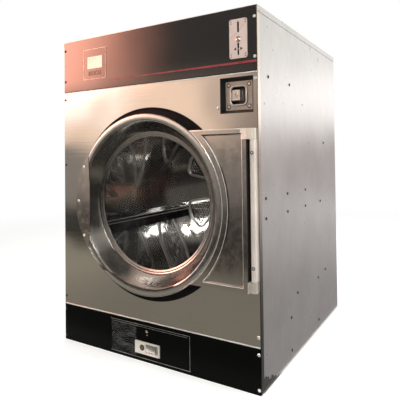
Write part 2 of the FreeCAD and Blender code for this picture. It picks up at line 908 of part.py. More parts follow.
def lifter_section(shrink):
    # Half crest, foot and foot, half crest, seen along the drum, with the drum wall at the right
    crest = drum_inner_radius - lifter_height + shrink
    foot = drum_radius
    half_crest = lifter_crest / 2 - shrink / 2
    half_foot = lifter_width / 2 - shrink
    y = front + drum_front + lifter_end_gap
    points = ((foot, -half_foot), (crest, -half_crest), (crest, half_crest), (foot, half_foot))
    corners = [Vector(door_x + x, y, door_z + z) for x, z in points]
    return Part.makePolygon(corners + corners[:1])


def drum_lifters():
    length = drum_end - drum_front - 2 * lifter_end_gap
    wall = rod(drum_inner_radius - fit_clearance, door, depth(drum_front, drum_end))
    ridge = thicken(lifter_section(0), length).cut(thicken(lifter_section(lifter_sheet), length)).common(wall)
    lifters = []
    for number in range(lifter_count):
        lifter = ridge.copy()
        angle = lifter_angle + 360 / lifter_count * number
        lifter.rotate(Vector(door_x, 0, door_z), Vector(0, -1, 0), angle)
        lifters.append(lifter)
    return Part.makeCompound([solid for lifter in lifters for solid in lifter.Solids])


def drum_shaft():
    flange = rod(shaft_flange_radius, door, depth(drum_end + drum_back_sheet, flange_end))
    shaft = rod(shaft_radius, door, depth(drum_end + drum_back_sheet, pulley_end + shaft_tail))
    return fused(flange, shaft)


def drum_pulley():
    rim_y = depth(pulley_front, pulley_end)
    middle = (pulley_front + pulley_end) / 2
    web_y = depth(middle - pulley_web / 2, middle + pulley_web / 2)
    rim_radius = drum_pulley_radius - drum_pulley_rim
    flange_radius = drum_pulley_radius + belt_thickness
    rim = tube(drum_pulley_radius, rim_radius, door, rim_y)
    near = tube(flange_radius, rim_radius, door, (rim_y[0], rim_y[0] + pulley_flange))
    far = tube(flange_radius, rim_radius, door, (rim_y[1] - pulley_flange, rim_y[1]))
    web = rod(rim_radius, door, web_y)
    hub = rod(2 * shaft_radius, door, rim_y)
    bore = rod(shaft_radius + fit_clearance, door, rim_y)
    return fused(rim, near, far, web, hub).cut(bore)


def bearing_beam():
    # A box tube from side to side, with a hub through it for the bearings
    tube_z = around(door_z, beam_height)
    tube_y = depth(beam_front, beam_end)
    hollow_z = (tube_z[0] + beam_wall, tube_z[1] - beam_wall)
    hollow_y = (tube_y[0] + beam_wall, tube_y[1] - beam_wall)
    span = (-inner_x, inner_x)
    beam = block(span, tube_y, tube_z).cut(block(span, hollow_y, hollow_z))
    hub = rod(bearing_radius + beam_wall, door, tube_y)
    seats = [rod(bearing_radius, door, depth(beam_front, beam_front + bearing_width)),
             rod(bearing_radius, door, depth(beam_end - bearing_width, beam_end)),
             rod(bearing_stop, door, depth(beam_front, beam_end))]
    return fused(beam, hub).cut(seats)


def bearings():
    bore = shaft_radius + running_clearance
    outer = bearing_radius - fit_clearance
    near = tube(outer, bore, door, depth(beam_front, beam_front + bearing_width))
    far = tube(outer, bore, door, depth(beam_end - bearing_width, beam_end))
    return Part.makeCompound([near, far])


def belt_face(extra):
    # Outline of a belt round both pulleys, the given distance off their rims
    big = drum_pulley_radius + extra
    small = motor_pulley_radius + extra
    run_x = motor_x - door_x
    run_z = motor_z - door_z
    heading = math.degrees(math.atan2(run_z, run_x))
    lean = math.degrees(math.acos((big - small) / math.hypot(run_x, run_z)))
    y = front + pulley_front + pulley_flange + slide_clearance

    def at(centre, radius, angle):
        x, z = polar(centre, radius, angle)
        return Vector(x, y, z)

    motor = (motor_x, motor_z)
    big_start, big_end = at(door, big, heading + lean), at(door, big, heading - lean)
    small_start, small_end = at(motor, small, heading - lean), at(motor, small, heading + lean)
    edges = [arc(big_start, at(door, big, heading + 180), big_end), line(big_end, small_start),
             arc(small_start, at(motor, small, heading), small_end), line(small_end, big_start)]
    return Part.Face(Part.Wire(edges))


def drum_belt():
    width = pulley_width - 2 * pulley_flange - 2 * slide_clearance
    outer = belt_face(seat_clearance + belt_thickness).extrude(Vector(0, width, 0))
    inner = belt_face(seat_clearance).extrude(Vector(0, width, 0))
    return outer.cut(inner)


def drive_motor():
    body = rod(motor_radius, (motor_x, motor_z), depth(motor_end - motor_length, motor_end))
    foot = block(around(motor_x, motor_foot_width), depth(motor_end - motor_length, motor_end),
                 (base_thickness, motor_z))
    bore_radius = motor_shaft_radius + running_clearance
    bore = rod(bore_radius, (motor_x, motor_z), depth(motor_end - motor_shaft_bite, motor_end))
    return fused(body, foot).cut(bore)


def motor_pulley():
    motor = (motor_x, motor_z)
    rim_y = depth(pulley_front, pulley_end)
    core = rod(motor_pulley_radius, motor, rim_y)
    lip = motor_pulley_radius + belt_thickness
    near = rod(lip, motor, (rim_y[0], rim_y[0] + pulley_flange))
    far = rod(lip, motor, (rim_y[1] - pulley_flange, rim_y[1]))
    shaft = rod(motor_shaft_radius, motor, depth(motor_end - motor_shaft_bite, pulley_end))
    return fused(core, near, far, shaft)


def blower_housing():
    axis = (blower_x, blower_z)
    duct_half = exhaust_radius + 2 * blower_sheet
    duct_x = (exhaust_x - duct_half, blower_x)
    duct_z = around(exhaust_z, 2 * duct_half)
    outside = depth(blower_front, blower_end)
    inside = depth(blower_front + blower_sheet, blower_end - blower_sheet)
    inner_x_span = (duct_x[0] + blower_sheet, duct_x[1])
    inner_z_span = (duct_z[0] + blower_sheet, duct_z[1] - blower_sheet)
    shell = rod(blower_radius, axis, outside).fuse(block(duct_x, outside, duct_z))
    foot = block(around(blower_x, blower_foot_width), outside, (base_thickness, blower_z))
    collar = rod(inlet_radius + blower_sheet, axis, depth(blower_front - inlet_length, blower_front))
    hollow = rod(blower_radius - blower_sheet, axis, inside).fuse(block(inner_x_span, inside, inner_z_span))
    inlet = rod(inlet_radius, axis, depth(blower_front - inlet_length, blower_front + blower_sheet))
    back_half = depth(blower_front + blower_width / 2, blower_end)
    outlet = rod(exhaust_radius - exhaust_wall, (exhaust_x, exhaust_z), back_half)
    shaft_hole = rod(fan_shaft_radius + slide_clearance, axis, back_half)
    return fused(shell, foot, collar).cut([hollow, inlet, outlet, shaft_hole])


def fan_wheel():
    axis = (blower_x, blower_z)
    fan_y = depth(blower_front + fan_side_gap, blower_end - fan_side_gap)
    plate = rod(fan_radius, axis, (fan_y[1] - fan_plate, fan_y[1]))
    rim = tube(fan_radius, fan_radius - fan_blade_width, axis, (fan_y[0], fan_y[0] + fan_plate))
    hub = rod(fan_hub_radius, axis, (fan_y[1] - fan_hub_radius, fan_y[1]))
    shaft = rod(fan_shaft_radius, axis, (fan_y[1] - fan_plate, front + blower_end + fan_shaft_bite))
    blade_x = (blower_x + fan_radius - fan_blade_width + fan_blade, blower_x + fan_radius - fan_blade)
    blade_y = (fan_y[0] + fan_plate / 2, fan_y[1] - fan_plate / 2)
    blades = []
    for number in range(fan_blade_count):
        blade = block(blade_x, blade_y, around(blower_z, fan_blade))
        blade.rotate(Vector(blower_x, 0, blower_z), Vector(0, 1, 0), 360 / fan_blade_count * number)
        blades.append(blade)
    return fused(plate, rim, hub, shaft, *blades)


def blower_motor():
    axis = (blower_x, blower_z)
    body = rod(blower_motor_radius, axis, depth(blower_end, blower_end + blower_motor_length))
    bore_y = depth(blower_end, blower_end + fan_shaft_bite + fan_side_gap)
    return body.cut(rod(fan_shaft_radius + running_clearance, axis, bore_y))


def exhaust_collar():
    # A duct from the blower that steps down to the collar behind the cabinet
    bore = exhaust_radius - exhaust_wall
    duct = exhaust_radius + exhaust_wall
    collar_start = cabinet_depth + exhaust_stub
    collar_end = collar_start + exhaust_collar_length
    return turned([
        (bore, blower_end), (duct, blower_end), (duct, collar_start),
        (exhaust_radius, collar_start), (exhaust_radius, collar_end), (bore, collar_end),
    ], (exhaust_x, exhaust_z))


def heater_box():
    box_y = depth(cabinet_depth - panel_sheet - heater_length, cabinet_depth - panel_sheet)
    box_z = (cabinet_height - heater_drop - heater_height, cabinet_height - heater_drop)
    outside = block(around(0, heater_width), box_y, box_z)
    inside_z = (box_z[0] + heater_sheet, box_z[1] - heater_sheet)
    return outside.cut(block(around(0, heater_width - 2 * heater_sheet), box_y, inside_z))


def heater_elements():
    inside = heater_width - 2 * heater_sheet
    z = cabinet_height - heater_drop - heater_height / 2
    step = heater_length / (element_count + 1)
    rods = []
    for number in range(element_count):
        y = back - panel_sheet - step * (number + 1)
        rods.append(Part.makeCylinder(element_radius, inside, Vector(-inside / 2, y, z), Vector(1, 0, 0)))
    return Part.makeCompound(rods)


def gland_place():
    return (half_width - gland_inset, cabinet_height - gland_drop)


def cable_gland():
    inside = depth(cabinet_depth - panel_sheet - gland_inside, cabinet_depth)
    outside = depth(cabinet_depth, cabinet_depth + gland_flange)
    body = rod(gland_radius, gland_place(), inside)
    flange = rod(gland_flange_radius, gland_place(), outside)
    return fused(body, flange).cut(rod(gland_bore, gland_place(), (inside[0], outside[1])))


def drawer_front():
    face_y = depth(-drawer_proud, drawer_sheet - drawer_proud)
    pan_y = depth(-drawer_proud, drawer_sheet + drawer_return - drawer_proud)
    inner_x_span = (drawer_edges[0] + drawer_sheet, drawer_edges[1] - drawer_sheet)
    inner_z_span = (drawer_z[0] + drawer_sheet, drawer_z[1] - drawer_sheet)
    pan = block(drawer_edges, pan_y, drawer_z).cut(block(inner_x_span, (face_y[1], pan_y[1]), inner_z_span))
    stud = turned([
        (0, -drawer_proud - stud_height), (stud_radius * 0.6, -drawer_proud - stud_height * 0.8),
        (stud_radius, -drawer_proud - stud_height * 0.3), (stud_radius, -drawer_proud), (0, -drawer_proud),
    ], (drawer_x + stud_offset, drawer_rise + stud_rise))
    cup_x = (scoop_x[0] - scoop_wall - slide_clearance, scoop_x[1] + scoop_wall + slide_clearance)
    cup_z = around(latch_z, scoop_height + 2 * scoop_wall + 2 * slide_clearance)
    lock = rod(latch_lock_radius + slide_clearance, (latch_lock_x, latch_z), face_y)
    return fused(pan, stud).cut([block(cup_x, face_y, cup_z), lock])


def lint_tray():
    # An open tray whose sides run forward past its front wall to the back of the drawer front
    outside = block(tray_x, depth(tray_front, tray_end), tray_z)
    inner_x_span = (tray_x[0] + tray_sheet, tray_x[1] - tray_sheet)
    inner_z_span = (tray_z[0] + tray_sheet, tray_z[1])
    wall = tray_front + latch_room
    latch_space = block(inner_x_span, depth(tray_front, wall), inner_z_span)
    lint_space = block(inner_x_span, depth(wall + tray_sheet, tray_end - tray_sheet), inner_z_span)
    return outside.cut([latch_space, lint_space])


def lint_screen():
    screen_x = (tray_x[0] + tray_sheet + screen_gap, tray_x[1] - tray_sheet - screen_gap)
    start = tray_front + latch_room + tray_sheet + screen_gap
    end = tray_end - tray_sheet - screen_gap
    floor = tray_z[0] + tray_sheet
    return block(screen_x, depth(start, end), (floor, floor + screen_thickness))


def drawer_runners():
    # A web and a ledge under each side of the tray
    runner_y = depth(runner_front, runner_front + runner_length)
    ledge_z = (tray_z[0] - seat_clearance - runner_wall, tray_z[0] - seat_clearance)
    runners = []
    for side, edge in ((-1, tray_x[0]), (1, tray_x[1])):
        web_x = sorted((edge + side * slide_clearance, edge + side * (slide_clearance + runner_wall)))
        ledge_x = sorted((edge - side * runner_ledge, edge + side * (slide_clearance + runner_wall)))
        web = block(web_x, runner_y, (base_thickness, base_thickness + runner_height))
        runners.append(fused(web, block(ledge_x, runner_y, ledge_z)))
    return Part.makeCompound(runners)


def latch_bezel():
    plate_y = depth(latch_face, -drawer_proud)
    plate = block(latch_x, plate_y, around(latch_z, latch_height))
    cup_x = (scoop_x[0] - scoop_wall, scoop_x[1] + scoop_wall)
    cup_y = depth(latch_face, scoop_depth + scoop_wall - drawer_proud)
    cup = block(cup_x, cup_y, around(latch_z, scoop_height + 2 * scoop_wall))
    scoop = block(scoop_x, depth(latch_face, scoop_depth - drawer_proud), around(latch_z, scoop_height))
    lock = rod(latch_lock_radius + running_clearance, (latch_lock_x, latch_z), plate_y)
    pin_z = around(latch_z, scoop_height + 2 * paddle_pin_bite + 2 * seat_clearance)
    pin = upright(paddle_pin_radius + running_clearance, (paddle_axis_x, front + paddle_axis_depth), pin_z)
    return fused(plate, cup).cut([scoop, lock, pin])


def latch_paddle():
    paddle_x = (scoop_x[0] + paddle_gap, scoop_x[0] + paddle_gap + paddle_length)
    paddle_y = around(front + paddle_axis_depth, paddle_thickness)
    plate = block(paddle_x, paddle_y, around(latch_z, scoop_height - 2 * paddle_gap))
    pin_z = around(latch_z, scoop_height + 2 * paddle_pin_bite)
    return fused(plate, upright(paddle_pin_radius, (paddle_axis_x, front + paddle_axis_depth), pin_z))


def latch_lock():
    face = latch_face - latch_lock_proud
    barrel = rod(latch_lock_radius, (latch_lock_x, latch_z), depth(face, face + latch_lock_length))
    slot_y = depth(face, face + 2 * latch_lock_proud)
    return barrel.cut(block(around(latch_lock_x, 1.6), slot_y, around(latch_z, latch_lock_radius)))


def panel_screws():
    screws = []
    screw_x = half_width - post_screw_inset
    ahead = (0, -1, 0)
    panel_parts = {-1: left_screw_parts, 1: right_screw_parts}
    for side in (-1, 1):
        heights = [cabinet_height - drop for drop in fascia_screw_drops]
        heights += [kick_height + part * (seam_z - kick_height) for part in panel_parts[side]]
        heights += kick_screw_rises
        for z in heights:
            screws.append(screw((side * screw_x, front, z), ahead))
        for deep, high in side_screw_parts:
            place = (side * wall_x, front + deep * cabinet_depth, high * cabinet_height)
            screws.append(screw(place, (side, 0, 0)))
        for part in back_screw_parts:
            screws.append(screw((side * screw_x, back, part * cabinet_height), (0, 1, 0)))
    vault_screw_x = vault_x - vault_width / 2 - vault_screw_inset
    vault_screw_z = vault_z - vault_height / 2 + vault_screw_rise
    screws.append(screw((vault_screw_x, front, vault_screw_z), ahead))
    for z in (post_z[0] + hinge_screw_inset, post_z[1] - hinge_screw_inset):
        place = (hinge_x, front - hinge_post_proud, z)
        screws.append(screw(place, ahead, hinge_screw_head_radius, hinge_post_proud + screw_hold))
    return Part.makeCompound(screws)


pieces = {
    "base_plate": base_plate(),
    "front_left_post": front_post(-1),
    "front_right_post": front_post(1),
    "left_side_panel": side_panel(-1),
    "right_side_panel": side_panel(1),
    "back_panel": back_panel(),
    "top_cover": top_cover(),
    "front_panel": front_panel(),
    "control_fascia": control_fascia(),
    "kick_panel": kick_panel(),
    "display_bezel": display_bezel(),
    "display_window": display_window(),
    "control_board": control_board(),
    "coin_faceplate": coin_faceplate(),
    "coin_selector": coin_selector(),
    "reject_button": reject_button(),
    "coin_chute": coin_chute(),
    "vault_housing": vault_housing(),
    "vault_plate": vault_plate(),
    "vault_lock": vault_lock(),
    "cash_box": cash_box(),
    "door_shell": door_shell(),
    "door_glass": door_glass(),
    "glass_gasket": glass_gasket(),
    "glass_retainer": glass_retainer(),
    "handle_plate": handle_plate(),
    "handle_screws": handle_screws(),
    "door_seal": door_seal(),
    "hinge_post": hinge_post(),
    "hinge_pins": hinge_pins(),
    "bulkhead": bulkhead(),
    "drum_shell": drum_shell(),
    "drum_back": drum_back(),
    "drum_lifters": drum_lifters(),
    "drum_shaft": drum_shaft(),
    "drum_pulley": drum_pulley(),
    "bearing_beam": bearing_beam(),
    "bearings": bearings(),
    "drum_belt": drum_belt(),
    "drive_motor": drive_motor(),
    "motor_pulley": motor_pulley(),
    "blower_housing": blower_housing(),
    "fan_wheel": fan_wheel(),
    "blower_motor": blower_motor(),
    "exhaust_collar": exhaust_collar(),
    "heater_box": heater_box(),
    "heater_elements": heater_elements(),
    "cable_gland": cable_gland(),
    "drawer_front": drawer_front(),
    "lint_tray": lint_tray(),
    "lint_screen": lint_screen(),
    "drawer_runners": drawer_runners(),
    "latch_bezel": latch_bezel(),
    "latch_paddle": latch_paddle(),
    "latch_lock": latch_lock(),
    "panel_screws": panel_screws(),
}
for number in range(key_count):
    pieces["key_%d" % (number + 1)] = key(number)

os.makedirs("parts", exist_ok=True)
for name, shape in pieces.items():
    shape.exportStep("parts/" + name + ".step")
    print(name, len(shape.Solids), "solids", round(shape.Volume / 1000, 1), "cm3", shape.isValid())
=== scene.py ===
from math import cos, pi, radians, sin, tan

import bmesh
import bpy
from mathutils import Matrix, Vector


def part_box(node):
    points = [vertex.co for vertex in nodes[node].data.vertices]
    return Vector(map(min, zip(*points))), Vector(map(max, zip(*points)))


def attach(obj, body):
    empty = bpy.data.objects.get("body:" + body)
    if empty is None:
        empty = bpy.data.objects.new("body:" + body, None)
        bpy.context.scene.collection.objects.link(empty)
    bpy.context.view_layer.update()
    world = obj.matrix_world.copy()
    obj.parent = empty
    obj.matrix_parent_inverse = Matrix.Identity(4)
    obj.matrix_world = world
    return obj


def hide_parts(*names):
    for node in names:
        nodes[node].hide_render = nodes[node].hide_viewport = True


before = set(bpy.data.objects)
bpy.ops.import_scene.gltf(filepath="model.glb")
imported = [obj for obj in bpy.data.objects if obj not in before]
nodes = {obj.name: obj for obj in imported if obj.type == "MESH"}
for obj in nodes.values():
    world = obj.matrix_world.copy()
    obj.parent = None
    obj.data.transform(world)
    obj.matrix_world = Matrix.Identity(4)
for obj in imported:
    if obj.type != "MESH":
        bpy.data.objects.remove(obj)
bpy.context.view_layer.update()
print("frame loaded:", len(nodes), "nodes")


def centreOf(node):
    # middle of a node's box, in x and z
    low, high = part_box(node)
    return (low[0] + high[0]) / 2, (low[2] + high[2]) / 2


def table(keys, rows):
    # each row's values by name; a row may end with extra named values of its own
    return {name: {**dict(zip(keys.split(), row)), **(row[-1] if isinstance(row[-1], dict) else {})}
            for name, row in rows.items()}


# x right, y back, z up, in metres, from the middle of the base
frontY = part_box("kick_panel")[0][1]
doorX, doorZ = centreOf("door_glass")
black = (0, 0, 0)


# The node tree in work
bench = {}


class Val:
    # one shader value; plain maths on it adds nodes
    def __init__(self, socket):
        self.socket = socket

    def __rsub__(self, other):
        return maths("SUBTRACT", other, self)


def maths(operation, *terms):
    return addNode("Math", dict(enumerate(terms)), operation=operation)


for method, operation in (("__add__", "ADD"), ("__radd__", "ADD"), ("__sub__", "SUBTRACT"),
                          ("__mul__", "MULTIPLY"), ("__rmul__", "MULTIPLY"), ("__truediv__", "DIVIDE"),
                          ("most", "MAXIMUM"), ("size", "ABSOLUTE"), ("part", "FRACT")):
    setattr(Val, method, lambda self, *others, name=operation: maths(name, self, *others))


def length(first, second):
    return maths("POWER", first * first + second * second, 0.5)


def startFinish(name, holder=None):
    made = holder or bpy.data.materials.new(name)
    made.use_nodes = True
    bench["tree"] = made.node_tree
    return made


def addNode(kind, inputs=None, out=0, **settings):
    made = bench["tree"].nodes.new("ShaderNode" + kind)
    for key, value in settings.items():
        setattr(made, key, value)
    for key, value in (inputs or {}).items():
        feed(made.inputs[key], value)
    return Val(made.outputs[out])


def feed(socket, value):
    if isinstance(value, Val):
        bench["tree"].links.new(value.socket, socket)
    elif socket.type == "RGBA":
        socket.default_value = (*value, 1)
    else:
        socket.default_value = value


def put(name, value):
    feed(bench["tree"].nodes["Principled BSDF"].inputs[name], value)


def putAll(values):
    for name, value in values.items():
        put(name, value)


def coords():
    return addNode("TexCoord", out="Object")


def axis(name):
    return addNode("SeparateXYZ", {"Vector": coords()}, name)


def noise(scale, detail=3, rough=0.5, stretch=(1, 1, 1), turn=(0, 0, 0)):
    place = addNode("Mapping", {"Vector": coords(), "Rotation": turn, "Scale": stretch})
    return addNode("TexNoise", {"Vector": place, "Scale": scale, "Detail": detail, "Roughness": rough})


def ease(value, low, high, start=0, end=1):
    return addNode("MapRange", dict(enumerate((value, low, high, start, end))),
                   interpolation_type="SMOOTHSTEP")


def edgeAt(value, place, soft=0.0005):
    # rises from 0 to 1 at a place, or falls where soft is negative
    return ease(value, place - soft, place + soft)


def mix(factor, first, second):
    return addNode("Mix", {0: factor, 6: first, 7: second}, 2, data_type="RGBA")


def layers(look, base, **coats):
    for name, cover in coats.items():
        base = mix(cover, base, look[name])
    return base


def dents(scale):
    return noise(scale, 1, 0.3)


def tone(value, look):
    return mix(ease(value, 0.3, 0.7), look["dark"], look["pale"])


def bump(height, strength, distance):
    put("Normal", addNode("Bump", {"Height": height, "Strength": strength, "Distance": distance}))


# Hinge pads on the wing: how tall, how far left of the pins, and the reach from the pins of the painted
# shade on the wing's side
padSet = {"tall": 0.038, "left": 0.033, "gapShade": 0.0159, "soft": 0.0002}


def steelSheet(look):
    # grain: noise stretch across the brushing; wave: how far the sheet is from flat
    put("Metallic", 1)
    fine = noise(1, 2, 0.6, look["grain"])
    cloud = noise(3.1, 4, 0.55)
    sheet = tone(cloud * 0.6 + fine * 0.4, look)
    streak = ease(fine, 0.25, 0.75, -0.5, 0.5)
    rough = look["rough"] * (1 + streak * 0.5 + (cloud - 0.5) * 0.6)
    if "pad" in look:
        # pale pads at the wing's right-hand corners; between them the wing's side is painted near black, a
        # painted shade
        low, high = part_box("hinge_pins")
        x, z = axis("X"), axis("Z")
        beyond = edgeAt(x, centreOf("hinge_pins")[0] - padSet["gapShade"], padSet["soft"])
        upper = edgeAt(z, high[2] - padSet["tall"]) * edgeAt(x, low[0] - padSet["left"])
        lower = edgeAt(z, low[2] + padSet["tall"], -0.0005) * beyond
        pads = upper + lower
        gapShade = beyond * (1 - pads)
        sheet = layers(look, sheet, pad=lower, topPad=upper, hollow=gapShade)
        rough = rough * (1 - pads) + pads * 0.5 + gapShade * 0.4
        put("Metallic", 1 - pads * 0.45 - gapShade)
    if "foot" in look:
        # painted shade: darker towards the floor
        sheet = mix(ease(axis("Z"), look["footTop"], 0.2), sheet, look["foot"])
    put("Base Color", sheet)
    put("Roughness", rough)
    bump(dents(look["waveScale"]) + fine * look["fine"], 1, look["wave"])


def glossPaint(look):
    putAll({"Coat Weight": look["coat"], "Coat Roughness": 0.05, "IOR": 1.5,
            "Specular IOR Level": look["gloss"]})
    film = noise(5, 4, 0.6)
    grime = ease(noise(420, 2, 0.6), 0.6, 0.75) * ease(film, 0.4, 0.7)
    dusty = [c + look["dust"] for c in look["colour"]]
    put("Base Color", mix(grime, look["colour"], dusty))
    put("Roughness", look["rough"] * (0.7 + film * 0.6) + grime * 0.2)
    bump(noise(260, 1, 0.4), 0.04, 0.0004)


def plainFinish(look):
    putAll({"Metallic": look["metal"], "Specular IOR Level": look.get("gloss", 0.5)})
    grain = noise(look["scale"], 3, 0.6, look.get("stretch", (1, 1, 1)))
    cloud = noise(look["scale"] / 14, 3, 0.5)
    spread = look.get("spread", 0.15)
    deep = [c * (1 - spread) for c in look["colour"]]
    lit = [min(1, c * (1 + spread)) for c in look["colour"]]
    put("Base Color", mix(ease(grain * 0.5 + cloud * 0.5, 0.35, 0.65), deep, lit))
    put("Roughness", look["rough"] * (1 + (grain - 0.5) * 0.5 + (cloud - 0.5) * 0.4))
    bump(grain, 0.15, 0.0002)


def zincSheet(look):
    # dull plated sheet: streaks down it, scratches, pits, and a near-black patch low at one front corner
    streak = noise(1, 3, 0.6, (60, 60, 14))
    cloud = noise(4, 4, 0.6)
    pits = ease(noise(60, 0), 0.845, 0.86)
    nick = ease(noise(1, 1, 0.4, (7, 30, 150), (0.5, 0, 0.2)), 0.72, 0.77)
    sheet = layers(look, tone(streak * 0.25 + cloud * 0.75, look), bright=nick * 0.5, pit=pits * 0.8)
    shine = 1 - pits * 0.8
    if "worn" in look:
        top, slope = look["wornTop"], look["wornSlope"]
        ragged = noise(55, 4, 0.7)
        edge = top - (axis("Y") - frontY) * slope + (ragged - 0.5) * 0.05
        worn = ease(edge - axis("Z"), 0, 0.002)
        sheet = mix(worn, sheet, look["worn"])
        shine = shine * (1 - worn)
    put("Base Color", sheet)
    put("Metallic", shine)
    put("Roughness", look["rough"] * (0.8 + cloud * 0.4) + nick * 0.1 + pits * 0.2)
    bump(dents(2.2) + streak * 0.002, 1, look["wave"])


def punch(look, hole, relief):
    # polished sheet with dark holes, a little dented
    put("Metallic", 1)
    cloud = noise(look["cloud"], 4, 0.6)
    put("Base Color", mix(hole, tone(cloud, look), look["hollow"]))
    put("Roughness", look["rough"] * (0.7 + cloud * 0.6) + hole * 0.4)
    bump(dents(look["waveScale"]) * (look["wave"] / look["rise"]) + relief, 1, look["rise"])


def drumSheet(look):
    # rows of punched holes round the drum, every second row moved half a step
    x, z = axis("X") - doorX, axis("Z") - doorZ
    around = maths("ARCTAN2", z, x) * (look["radius"] / look["pitch"])
    along = axis("Y") / look["pitch"]
    shift = (maths("FLOOR", along) * 0.5).part()
    reach = length((around + shift).part() - 0.5, along.part() - 0.5)
    edge = look["hole"] / look["pitch"] / 2
    punch(look, edgeAt(reach, edge, -0.04), ease(reach, edge + 0.16, edge, 0, -1))


def drumBackSheet(look):
    # mirror sheet with punched holes inside each pressed petal
    x, z = axis("X") - doorX, axis("Z") - doorZ
    radius = length(x, z)
    share = 2 * pi / look["petals"]
    aside = ((maths("ARCTAN2", z, x) / share).part() - 0.5).size() * share * radius
    inside = ease(aside - (radius - look["tip"]) * look["spread"], 0, -0.003)
    inside = inside * ease(radius, look["start"], look["start"] + look["soft"])
    inside = inside * ease(radius, look["end"], look["end"] - look["soft"])
    up = z / (look["pitch"] * look["rowStep"])
    across = (x / look["pitch"] + (maths("FLOOR", up) * 0.5).part()).part() - 0.5
    reach = length(across, (up.part() - 0.5) * look["rowStep"])
    hole = ease(reach, 0.3, 0.24) * inside
    punch(look, hole, ease(reach, 0.44, 0.32) * inside - hole)


def screwPlating(look):
    # bright heads, with near-black ones down the left edge of the cabinet and on its sides
    put("Metallic", 0.6)
    grain = noise(400, 3, 0.6)
    x = axis("X")
    dull = edgeAt(x, look["leftOf"], -0.0025) + edgeAt(x, look["rightOf"])
    put("Base Color", mix(dull, look["bright"], look["darkHead"]))
    put("Roughness", 0.2 + dull * 0.15 + (grain - 0.5) * 0.12)


def vaultSheet(look):
    # dull plate, paler on the lock's block, and darkened down in the finger well as painted shade
    put("Metallic", 0.9)
    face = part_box("vault_plate")[0][1]
    lockX, lockZ = centreOf("vault_lock")
    wide, tall = look["blockHalf"]
    block = edgeAt((axis("X") - lockX).size(), wide, -0.0003)
    block = block * edgeAt((axis("Z") - lockZ).size(), tall, -0.0003)
    # painted shade: the plate darkens with depth in the finger well
    deep = ease(axis("Y"), face + 0.003, face + 0.02) * (1 - block)
    cloud = noise(40, 3, 0.6)
    put("Base Color", layers(look, tone(cloud, look), block=block, deep=deep))
    put("Roughness", look["rough"] * (0.8 + cloud * 0.4))
    bump(cloud, 0.2, 0.0003)


def windowGlass(look):
    putAll({"Base Color": look["colour"], "IOR": look["ior"], "Specular IOR Level": 0.6})
    film = noise(6, 4, 0.6)
    put("Roughness", 0.01 + ease(film, 0.5, 0.8) * 0.03)
    gloss = addNode("Fresnel", {"IOR": look["ior"]})
    put("Alpha", 0.02 + gloss * 0.4 + ease(film, 0.55, 0.8) * 0.02)


def litScreen(look):
    # a pale lit panel, a little uneven, with soft darker bars
    putAll({"Base Color": look["unlit"], "Roughness": 0.3, "Emission Strength": 0.98,
            "Specular IOR Level": 0.05})
    low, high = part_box("display_window")
    across = (axis("X") - low[0]) / (high[0] - low[0])
    up = (axis("Z") - low[2]) / (high[2] - low[2])
    patch = noise(60, 2, 0.5)
    rows, columns = look["bars"]
    bars = ease((up * rows).part(), 0.55, 0.62)
    bars = bars * ease((across * columns + patch).part(), 0.45, 0.5)
    corner = ease(up - across * 0.6, 0.15, 0.6)
    put("Emission Color", mix(bars * corner * 0.55, look["lit"], look["bar"]))


def satinSilver(look):
    # pale satin plate; one long scratch runs up across it where the look gives its line
    put("Metallic", look["metal"])
    grain = noise(1, 2, 0.5, (30, 30, 900))
    cloud = noise(18, 3, 0.6)
    sheet = tone(cloud, look)
    if "scratch" in look:
        atX, atZ, slope = look["scratch"]
        x = axis("X") - atX
        off = (axis("Z") - atZ - x * slope + (cloud - 0.5) * 0.004).size()
        nick = ease(off, 0.0011, 0.0005) * ease(x.size(), 0.027, 0.022)
        sheet = mix(nick * 0.8, sheet, look["scored"])
    put("Base Color", sheet)
    put("Roughness", look["rough"] + (grain - 0.5) * 0.15)
    bump(grain + cloud * 0.3, 0.15, 0.0003)


def meshScreen(look):
    putAll({"Metallic": 0.9, "Roughness": 0.45})
    x, y = [((axis(side) / look["pitch"]).part() - 0.5).size() for side in "XY"]
    wire = ease(x.most(y), 0.28, 0.36)
    put("Base Color", mix(wire, look["hollow"], look["wire"]))
    bump(wire, 0.6, 0.0006)


def clearFilm(look):
    putAll({"Base Color": look["colour"], "Roughness": 0.35})
    creases = noise(1, 4, 0.7, (14, 14, 30), (0, 0.6, 0))
    put("Alpha", 0.015 + ease(creases, 0.4, 0.75) * 0.06)
    bump(creases, 0.6, 0.002)


def addObject(name, data):
    made = bpy.data.objects.new(name, data)
    bpy.context.collection.objects.link(made)
    return made


# Camera where the photo was taken
cameraSet = {"place": (1.1098, frontY - 1.3503, 0.8274), "yaw": 30.06, "pitch": 1.16, "roll": -0.67,
             "lens": 38.566, "sensor": 36, "shift": (-0.046, -0.1349)}
cameraData = bpy.data.cameras.new("photoCamera")
cameraData.sensor_width = cameraSet["sensor"]
cameraData.lens = cameraSet["lens"]
cameraData.shift_x, cameraData.shift_y = cameraSet["shift"]
camera = addObject("photoCamera", cameraData)
camera.matrix_world = (Matrix.Translation(cameraSet["place"])
                       @ Matrix.Rotation(radians(cameraSet["yaw"]), 4, "Z")
                       @ Matrix.Rotation(radians(90 + cameraSet["pitch"]), 4, "X")
                       @ Matrix.Rotation(radians(cameraSet["roll"]), 4, "Z"))
bpy.context.scene.camera = camera
bpy.context.scene.view_settings.view_transform = "Standard"
print("camera set")

